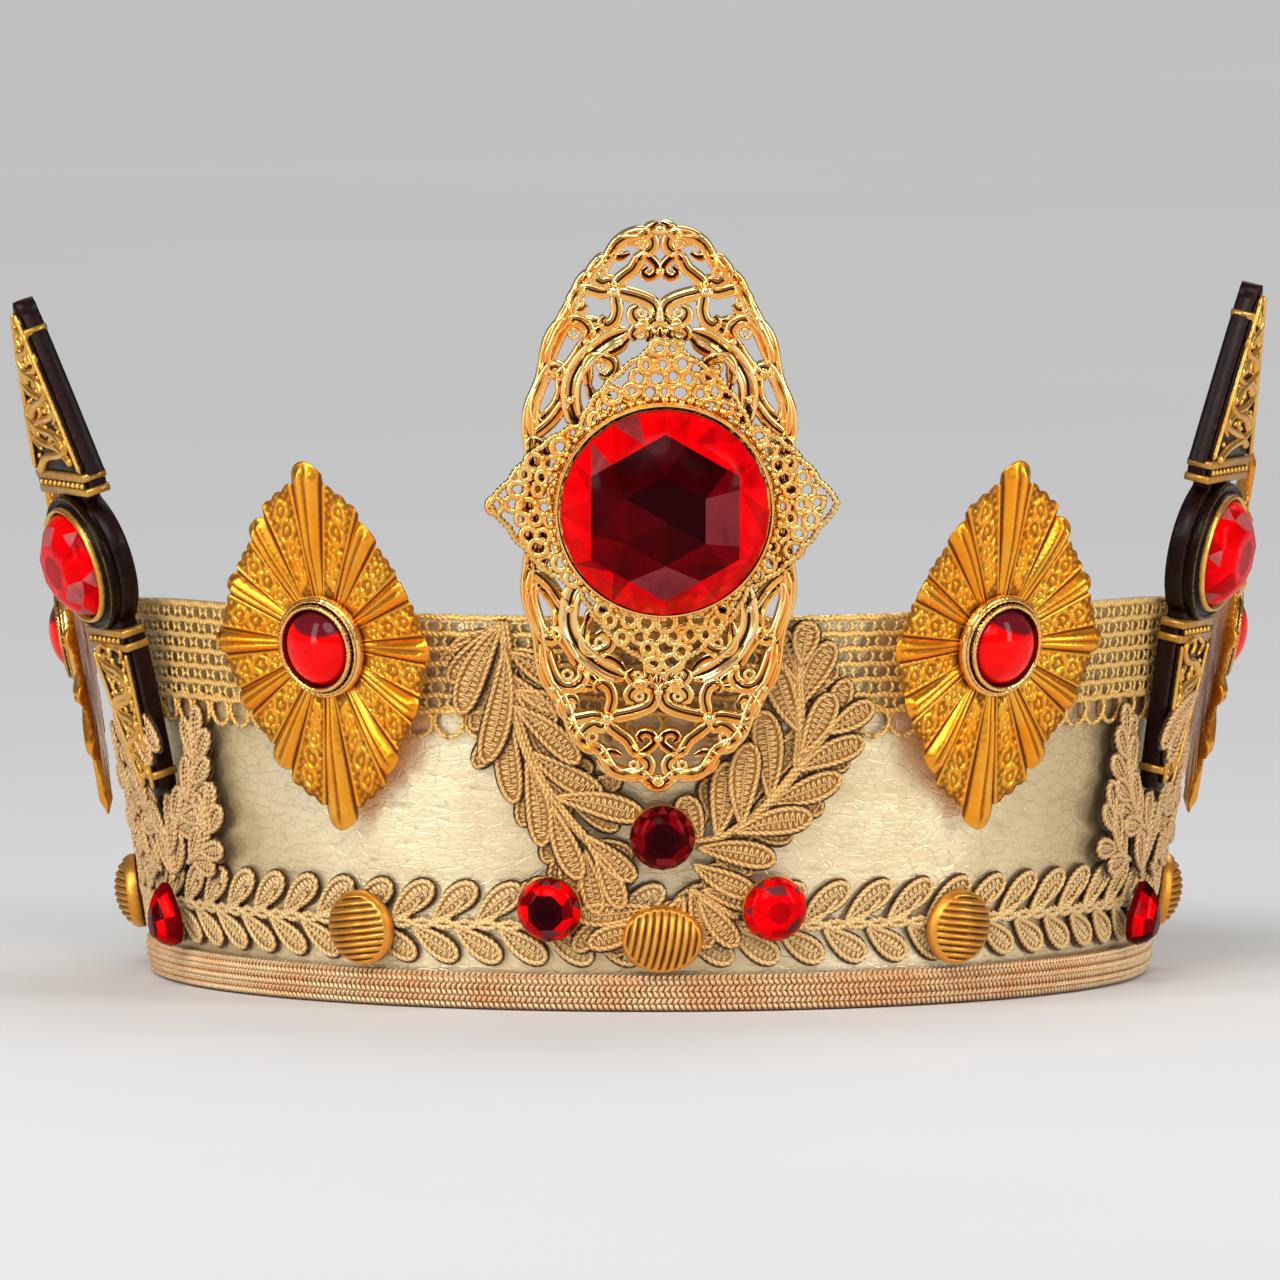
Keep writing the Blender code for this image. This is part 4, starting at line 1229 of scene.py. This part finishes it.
front_gem()

# The round stones: place, angle, height, facet tones and heart. The tones are painted light.
STONE_BACK = 3.1
for place, t, z, tones, heart_tone in (
    ("top", 0, 29, [scaled(MAROON, 1.3), DEEP, MAROON, (0.28, 0.012, 0.02), DEEP, MAROON],
     BLACK_RED),
    ("left", -12.15, 17, [BRIGHT_RED, MAROON, BRIGHT_RED, (0.16, 0.03, 0.035), MID_RED],
     BLACK_RED),
    ("right", 12.15, 17, [BRIGHT_RED, BRIGHT_RED, (0.15, 0.03, 0.03), MID_RED, BRIGHT_RED],
     scaled(BRIGHT_RED, 0.62)),
):
    surface = band_plane(t, z, STONE_BACK)
    round_stone(f"rhinestone_{place}_cut", surface, 0, tones, heart_tone, "rhinestone_" + place)
    # The thin gold foil that shows under its edge.
    foil = Pile()
    lathe(foil, surface, [(5.3, 0.35), (5.42, 0.15), (5.4, -0.15), (5.0, -0.2)], 48)
    make("rhinestone_foil_" + place, foil, BUTTON)
for name, side in SIDES:
    surface = band_plane(side * 67, 12.2, STONE_BACK)
    drop_stone("teardrop_cut_" + name, surface, "teardrop_" + name)


# --- buttons


def button(name, node, t, z, half_width, half_height, lie):
    """A domed button cut with straight ribs that lie at an angle."""
    surface, lie = band_plane(t, z, 1.8), math.radians(lie)
    rows, steps, ribs = 40, 120, 11
    rho = np.sin(np.linspace(0.0, math.pi / 2, rows))[:, None]
    x, y = rho * np.sin(around(steps)), rho * np.cos(around(steps))
    bent = x * math.cos(lie) + y * math.sin(lie)
    bent = bent + 0.05 * (y * math.cos(lie) - x * math.sin(lie)) ** 2
    wave = 0.5 + 0.5 * np.cos(bent * math.pi * ribs)
    inside = np.clip((0.93 - rho) / 0.07, 0, 1)
    height = 4.1 * np.sqrt(np.maximum(1 - (rho * 0.985) ** 2, 0)) + 0.25
    height = height - 0.62 * (1 - wave**0.7) * inside
    u, v = (np.concatenate([a, a[-1:]]) for a in (x * half_width, y * half_height))
    height = np.concatenate([height, np.zeros((1, steps))])
    # The shade follows the ribs, low in the grooves, which paints the grooves dark: painted shade.
    shade = np.concatenate([wave * inside + (1 - inside) * 0.8, np.full((1, steps), 0.2)])
    pile = Pile()
    pile.add(surface(u, v, height)[0], shade, grid_faces(rows + 1, steps, False, True))
    make(name, pile, BUTTON, node)


button("button_front_ribbed", "button_front", 0, 12.2, 6.75, 5.6, -8)
for name, side in SIDES:
    lie = 90 - side * 6
    button("button_ribbed_" + name, "button_" + name, side * 34.7, 12.9, 6.2, 6.2, lie)
    rear, lie = "button_rear_" + name, 90 + side * 6
    button("button_ribbed_rear_" + name, rear, side * 94, 12.9, 6.2, 6.2, lie)


# --- sunburst plates


def plate_reach(angle):
    """From the middle to the outline, a diamond with full sides."""
    power = 1.34
    x, y = np.abs(np.sin(angle)) / 22.0, np.abs(np.cos(angle)) / 31.0
    return (x**power + y**power) ** (-1 / power)


def smooth_step(x):
    x = np.clip(x, 0, 1)
    return x * x * (3 - 2 * x)


def hump(x, width):
    return np.exp(-((x / width) ** 2))


def floral(along, across, reach):
    """A chain of florets up the middle of a panel, with grains beside it."""
    grains = np.cos(TAU * along / 1.5) * np.cos(TAU * across / 1.7 + 0.6)
    relief = 0.5 * np.maximum(0, grains) ** 0.7
    for back, size in ((2.9, 1.35), (6.3, 1.5), (9.6, 1.15), (12.4, 0.95), (14.9, 0.8)):
        beyond = along - reach + back
        far = np.hypot(beyond, across)
        petals = hump(far - size, 0.36) * (0.8 + 0.2 * np.cos(6 * np.arctan2(across, beyond)))
        clear = smooth_step((far - size * 1.05) / 0.55)
        relief = relief * clear + petals + hump(far, 0.45)
    return np.clip(relief, 0, 1.1)


def sunburst(name, surface, node):
    """Twelve smooth ribs and twelve floral panels that fan out from the middle."""
    steps, rows, start = 528, 74, 6.2
    period, rib_share = TAU / 12, 0.21
    angle = (np.arange(steps) + 0.5) / steps * TAU
    nearest = np.round(angle / period)
    place = angle / period - nearest
    rib = np.abs(place) < rib_share
    side = np.where(place < 0, -1.0, 1.0)
    u = np.where(rib, place / rib_share, (place - 0.5 * side) / (0.5 - rib_share))
    middle = (nearest + np.where(rib, 0, 0.5 * side)) * period
    half_turn = period * np.where(rib, rib_share, 0.5 - rib_share)
    whole = 0.58 * plate_reach(angle) + 0.42 * plate_reach(middle)
    lobes = 0.955 + 0.022 * np.abs(np.cos(1.5 * math.pi * u))
    reach = whole * np.where(rib, 1.0 - 0.045 * np.abs(u) ** 2.6, lobes)
    q = np.linspace(0, 1, rows)[:, None] ** 0.92
    r = start + (reach - start) * q
    half = r * np.sin(half_turn)
    size, end, off = smooth_step((r - 7.0) / 12), smooth_step((1 - q) / 0.10), np.abs(u)
    raised = (0.40 + 1.35 * size) * (1 - off**2.4) * (0.45 + 0.55 * end)
    raised = raised - (0.12 + 0.50 * size) * hump(u, 0.2) * end
    relief = floral(r, u * half, reach) * (off < 0.80)
    relief = relief * smooth_step((r - 8.4) / 2) * smooth_step((1 - q) / 0.05)
    seam = hump(off - 0.86, 0.08)
    panels = 0.10 + 0.10 * size * (1 - u**2) + 0.32 * relief + 0.34 * seam
    height = np.where(rib, raised, panels) + 0.10
    # The shades are painted light and shade: dark along the groove down each rib and towards its
    # sides, dark on the panels' ground and where they meet the ribs, light on the florets and the
    # seams.
    crease = 1 - hump(u, 0.16) * (0.35 + 0.5 * end)
    shade_ribs = np.clip(crease - smooth_step((off - 0.74) / 0.2), 0.05, 1)
    shade_panels = np.clip(0.20 + 0.85 * relief + 0.6 * seam - 0.6 * (off > 0.95), 0, 1)
    shade = np.where(rib, shade_ribs, shade_panels)
    # Round the edge, across the back and up inside.
    back_r = start + (reach - start) * np.array([1.0, 0.985, 0.6, 0.0])[:, None]
    r = np.concatenate([r, back_r, np.full((1, steps), 0.05)])
    down = height[-1:] - 0.25, height[-1:] - 0.55, np.full((3, steps), -0.55)
    shade = np.concatenate([shade, np.full((5, steps), 0.55)])
    points, _ = surface(r * np.sin(angle), r * np.cos(angle), np.concatenate([height, *down]))
    pile = Pile()
    pile.add(points, shade, grid_faces(rows + 5, steps, True, True))
    make(name, pile, PRESSED, node)


def bezel(place, surface):
    """A ring round the stone, with two fine twisted wires on it."""
    ring, ropes, phi = Pile(), Pile(), around(130)
    profile = [
        (6.45, 1.0), (6.55, 2.3), (6.75, 2.65), (7.0, 2.5), (7.12, 1.95), (7.3, 1.75),
        (7.5, 2.0), (8.2, 2.0), (8.5, 1.6), (8.55, 0.3), (6.45, 0.3),
    ]
    # The shades paint shade into the groove round the ring and on its underside.
    shade = [0.4, 0.9, 1.0, 0.8, 0.05, 0.0, 0.7, 0.9, 0.8, 0.1, 0.1]
    lathe(ring, surface, profile, 120, shade)
    for r, out, radius, sides, turn in ((6.95, 2.75, 0.42, 9, 1.9), (7.75, 2.1, 0.3, 7, 1.6)):
        line = np.stack([r * np.cos(phi), r * np.sin(phi)], -1)
        strand(ropes, surface, line, out, radius, 1.0, sides, True, (0.3, 3, turn))
    slot, node = "pressed_gold", "bezel_" + place
    make("bezel_ring_" + place, ring, NET_GOLD, node, slot=slot, sharp=55)
    make("bezel_rope_" + place, ropes, NET_GOLD, slot=slot)


def cabochon(name, surface, node):
    """A domed stone with painted light and shade: bright red below, deep at the rim and under the
    top's glare.
    """
    rows, steps = 26, 84
    rho = np.sin(np.linspace(0.02, math.pi / 2, rows))[:, None]
    x, y = rho * np.sin(around(steps)), rho * np.cos(around(steps))
    height = 4.7 * np.sqrt(np.maximum(1 - (0.97 * rho) ** 2, 0)) + 0.5
    # Painted reflection and shade: a dusky cap at the top, under its glare, and a deep rim.
    upper = smooth_step((y - 0.36 + 0.22 * x - 0.3 * x * x) / 0.10)[..., None]
    rim = smooth_step((rho - 0.86) / 0.12)[..., None]
    bright, dusk, dark = np.array([(1.0, 0.0, 0.0), (0.14, 0.006, 0.012), (0.05, 0.0, 0.004)])
    hue = (bright * (1 - upper) + dusk * upper) * (1 - rim) + dark * rim
    pile = Pile()
    faces = grid_faces(rows, steps, False, True)
    pile.add(surface(x * 6.45, y * 6.45, height)[0], 0.8, faces)
    make(name, pile, RUBY_DOME, node, tones=hue)


for place, t, z, out in (
    ("front_left", -35.7, 59.6, 3.6), ("front_right", 35.7, 59.6, 3.6),
    ("rear_left", -94, 56.2, 5.4), ("rear_right", 94, 56.2, 5.4),
):
    surface = plane(*station(t, z, out, 10))
    sunburst("sunburst_plate_" + place, surface, "sunburst_" + place)
    bezel(place, surface)
    cabochon("cabochon_dome_" + place, surface, "cabochon_" + place)


# --- spires. Heights on one are up its board, from the foot.

FACE = 3.4
SPIRE_LEANS = {"left": 17.0, "right": 11.6}
MEDALLION_Y = 41.1


def lower_half(y):
    y = np.asarray(y, float)
    round_foot = 3.2 * np.sqrt(np.maximum(0.0, 1 - (1 - y / 3.2) ** 2))
    return np.where(y < 3.2, round_foot, 3.2 + 4.4 * (np.maximum(y - 3.2, 0) / 22.6) ** 0.8)


def upper_half(y):
    return 0.9 + 9.4 * np.maximum(0.0, (85.0 - np.asarray(y, float)) / 28.0) ** 0.9


def board_half(y):
    if y <= 25.8:
        return max(0.25, float(lower_half(y)))
    if y <= 29.4:
        return 7.6
    if y < 52.9:
        return max(math.sqrt(max(0.0, 11.7**2 - (y - MEDALLION_Y) ** 2)), 5.4)
    return 9.8 if y <= 56.2 else float(upper_half(y))


def loft(pile, surface, y, halves, section, shade):
    """A slab lofted up a spire. section is (inset, out) from the back edge to the front."""
    y, halves = np.asarray(y, float)[:, None], np.asarray(halves, float)[:, None]
    inset, out = np.transpose(section)
    right = np.maximum(halves - inset, 0.04)
    x = np.concatenate([right, -right[:, ::-1]], 1)
    points, _ = surface(x, y, np.concatenate([out, out[::-1]]))
    rows, columns = x.shape
    shade = np.broadcast_to(np.concatenate([shade, shade[::-1]]), x.shape)
    k = np.arange(1, columns - 1)
    fan = np.stack([np.zeros_like(k), k, k + 1], -1)
    ends = np.concatenate([fan[:, ::-1], fan + (rows - 1) * columns])
    pile.add(points, shade, grid_faces(rows, columns, False, True)[:, ::-1], ends)


def scrollwork(pile, surface, half, first, last, out, seed, flip=1):
    """Crowded leaf scrolls cast on a blade, each one a little different."""
    rng = np.random.default_rng(seed)
    y = first
    while y < last:
        wide = max(float(half(y)) - 1.3, 0.3)
        tall = min(5.2, 2.4 + wide * 0.55) * rng.uniform(0.85, 1.15)
        side = flip * wide
        shape = (
            (-0.85, -0.35), (-0.35, 0.05), (0.45, 0.25), (0.85, 0.62), (0.45, 0.95),
            (0.0, 0.72), (0.22, 0.48),
        )
        curl = []
        for a, b in shape:
            across = a * side + rng.uniform(-0.25, 0.25) * min(wide, 1)
            curl.append((across, y + b * tall + rng.uniform(-0.3, 0.3)))
        line = through(curl, 0.4)
        taper = np.linspace(1.25, 0.7, len(line)) * min(1.0, 0.35 + 0.16 * wide)
        strand(pile, surface, line, out, 0.7 * taper, 15 / 14)
        if wide > 1.4:
            hook = [(a * side, y + b * tall) for a, b in ((-0.5, 0.35), (-0.8, 0.7), (-0.45, 0.9))]
            line = through(hook, 0.4)
            path, normals = surface(line[:, 0], line[:, 1], out - 0.1)
            sweep(pile, path, normals, np.linspace(0.3, 0.62, len(line)), 0.5, 7)
            bead(pile, surface, -0.7 * side, y + 0.15 * tall, out, 0.55, 1.0, 9)
        y += tall * 0.86
        flip = -flip


def spire_board(name, surface):
    pile = Pile()
    y = [0.02, 0.3, 0.8, 1.6, 2.6, 4.0, 9.0, 15.0, 21.0, 25.75, 25.85, 29.3, 29.5]
    y += [MEDALLION_Y + 11.6 * math.sin(math.radians(a)) for a in range(-78, 79, 6)]
    y += [52.85, 52.95, 56.15, 56.3, 60.0, 66.0, 72.0, 78.0, 82.0, 84.4, 85.0]
    y = sorted(y)
    section = [(0.9, 0.0), (0.35, 0.12), (0.0, 0.6), (0.0, 2.8), (0.35, 3.28), (0.9, FACE)]
    shade = [0.1, 0.6, 0.77, 0.77, 0.88, 0.1]
    loft(pile, surface, y, [board_half(height) for height in y], section, shade)
    y, halves = [83.0, 83.4, 84.0, 84.8, 85.4, 85.8, 86.0], [1.0, 1.45, 1.6, 1.5, 1.2, 0.8, 0.4]
    section = [(0.8, 0.1), (0.2, 0.3), (0.0, 0.9), (0.0, 2.7), (0.3, 3.5), (0.8, 3.8)]
    loft(pile, surface, y, halves, section, shade)
    make("spire_lacquered_board_" + name, pile, LACQUER, "spire_board_" + name, sharp=35)


def spire_plate(name, node, surface, half, first, last, seed):
    """A cast blade with corded edges and two runs of scrolls."""
    pile = Pile()
    y = np.linspace(first, last, 30)
    section = [(0.5, FACE), (0.5, FACE + 0.5), (0.75, FACE + 0.62)]
    loft(pile, surface, y, half(y), section, [0.1, 0.3, 0.16])
    for side in (-1, 1):
        edge = np.stack([side * np.maximum(half(y) - 0.85, 0.1), y], -1)
        strand(pile, surface, evenly(edge, 0.5), FACE + 0.8, 0.42, 1.1, 7)
    scrollwork(pile, surface, half, first + 1.6, last - 3.5, FACE + 0.75, seed)
    scrollwork(pile, surface, half, first + 3.4, last - 5.0, FACE + 0.55, seed + 20, -1)
    make(name, pile, ANTIQUE, node)


def spire_collar(name, surface, y0, half, ribs, *nodes):
    """Ribs round the board. Where there are two, a beaded strip lies between them."""
    pile = Pile()
    for rib in ribs:
        y = y0 + rib + np.array([-0.62, -0.45, 0.0, 0.45, 0.62])
        halves = half + np.array([0.0, 0.18, 0.26, 0.18, 0.0])
        section = [(0.2, -0.05), (-0.08, 0.2), (-0.08, FACE + 0.6), (0.2, FACE + 0.85)]
        loft(pile, surface, y, halves, section, [0.2, 0.5, 0.62, 0.6])
    if len(ribs) > 1:
        section = [(0.3, FACE), (0.3, FACE + 0.8)]
        loft(pile, surface, [y0 + 0.9, y0 + 2.6], [half - 0.2] * 2, section, [0.1, 0.3])
        for x in np.arange(-half + 1.5, half - 1.0, 1.9):
            bead(pile, surface, x, y0 + 1.72, FACE + 0.75, 0.62, 0.9, 9)
    make(name, pile, ANTIQUE, *nodes)


def spire(name):
    axes, origin = station(SPIRE_ANGLES[name], 33.0, 1.3, SPIRE_LEANS[name])
    surface, extra = plane(axes, origin), name == "left"
    spire_board(name, surface)
    for part, half, first, last, seed in (
        ("foot", lower_half, 1.6, 25.3, 3), ("point", upper_half, 57.0, 84.2, 5)
    ):
        relief, node = f"spire_{part}_relief_{name}", f"spire_{part}_plate_{name}"
        spire_plate(relief, node, surface, half, first, last, seed + extra)
    for part, y0, half, ribs in (
        ("lower_collar", 25.9, 7.7, (0.5, 2.9)), ("upper_collar", 53.0, 9.9, (0.5, 3.0)),
        ("tip_ring", 80.2, 2.3, (0.6,)), ("foot_ring", 3.6, 3.7, (0.3,)),
    ):
        nodes = (f"spire_{part}_{name}",) if "collar" in part else ()
        spire_collar(f"spire_{part}_gilt_{name}", surface, y0, half, ribs, *nodes)
    seat, medallion = plane(axes, origin + axes[:, 1] * MEDALLION_Y), Pile()
    profile = [
        (9.0, 2.2), (9.35, 3.1), (9.75, 3.1), (10.0, 2.2), (10.2, 1.5), (10.9, 1.5),
        (11.3, 1.9), (11.6, 1.5), (11.6, 0.0), (9.0, 0.0),
    ]
    shade = [0.3, 0.95, 1.0, 0.3, 0.0, 0.0, 0.42, 0.2, 0.0, 0.0]
    lathe(medallion, seat, [(r, h + FACE) for r, h in profile], 96, shade)
    make("spire_medallion_gilt_" + name, medallion, ANTIQUE, "spire_medallion_" + name)
    # The spire's stone, its tones painted light as on the other stones.
    tones = [BRIGHT_RED, scaled(BRIGHT_RED, 0.8), (0.5, 0.1, 0.1), BRIGHT_RED, MID_RED]
    heart, gem = (0.5, 0.01, 0.015), "spire_gem_" + name
    round_stone("spire_gem_cut_" + name, seat, FACE + 1.5, tones, heart, gem, 9.0, 5.0, 0.56)


spire("left")
spire("right")


# --- the hidden board

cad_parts["band_core"].data.materials.clear()
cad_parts["band_core"].data.materials.append(board_material())


# --- floor, lights and the camera


def place_in_scene(name, data, location=(0, 0, 0), toward=None):
    made = bpy.data.objects.new(name, data)
    made.location = location
    if toward is not None:
        made.rotation_euler = toward.to_track_quat("Z", "Y").to_euler()
    bpy.context.scene.collection.objects.link(made)
    return made


def direction(azimuth, elevation):
    """Azimuth 0 is straight in front and grows to the right. In degrees."""
    turn, rise = math.radians(azimuth), math.radians(elevation)
    flat = math.cos(rise)
    return Vector((math.sin(turn) * flat, -math.cos(turn) * flat, math.sin(rise)))


def floor():
    mesh = bpy.data.meshes.new("floor")
    r = 30.0
    mesh.from_pydata([(-r, -r, 0), (r, -r, 0), (r, r, 0), (-r, r, 0)], [], [(0, 1, 2, 3)])
    m = Shader("pale_floor")
    colour = m.ramp(m.noise(3.0, 2), (0.3, (0.77, 0.77, 0.77)), (0.7, (0.79, 0.79, 0.79)))
    mesh.materials.append(m.finish(colour, 0.0, 0.8))
    place_in_scene("floor", mesh, (0, 0, -0.0002))


def softbox(name, place, size, power):
    data = bpy.data.lights.new(name, "AREA")
    data.shape = "RECTANGLE"
    data.size, data.size_y = size
    data.energy = power
    place_in_scene(name, data, place, Vector(place) - Vector((0, 0, 0.05)))


def sun(name, azimuth, elevation, strength, angle):
    """A far, wide light."""
    data = bpy.data.lights.new(name, "SUN")
    data.energy = strength
    data.angle = math.radians(angle)
    place_in_scene(name, data, toward=direction(azimuth, elevation))


def studio():
    world = bpy.data.worlds.new("studio")
    bpy.context.scene.world = world
    world.use_nodes = True
    background = world.node_tree.nodes["Background"].inputs
    background["Color"].default_value = (0.80, 0.80, 0.80, 1)
    background["Strength"].default_value = 0.27
    sun("key", -16, 40, 1.35, 30)
    sun("back", 160, 50, 0.75, 40)
    softbox("front", (0.1, -2.2, 1.15), (2.2, 0.8), 8)
    softbox("left_strip", (-0.75, -0.55, 0.35), (0.2, 0.7), 3.6)
    softbox("right_strip", (0.8, -0.5, 0.35), (0.2, 0.7), 3.6)


def camera():
    """Almost without perspective, a little above the front and turned slightly."""
    data = bpy.data.cameras.new("camera")
    distance, width = 4.0, 0.21333
    data.sensor_width = 36
    data.lens = data.sensor_width * distance / width
    data.clip_end = 100
    data.shift_x, data.shift_y = -0.00859375, -0.0265625
    toward = direction(-1.25, 3.5)
    aim = Vector((CX * MM, 0, 0.0615))
    bpy.context.scene.camera = place_in_scene("camera", data, aim + toward * distance, toward)


floor()
studio()
camera()
bpy.context.scene.view_settings.view_transform = "Standard"
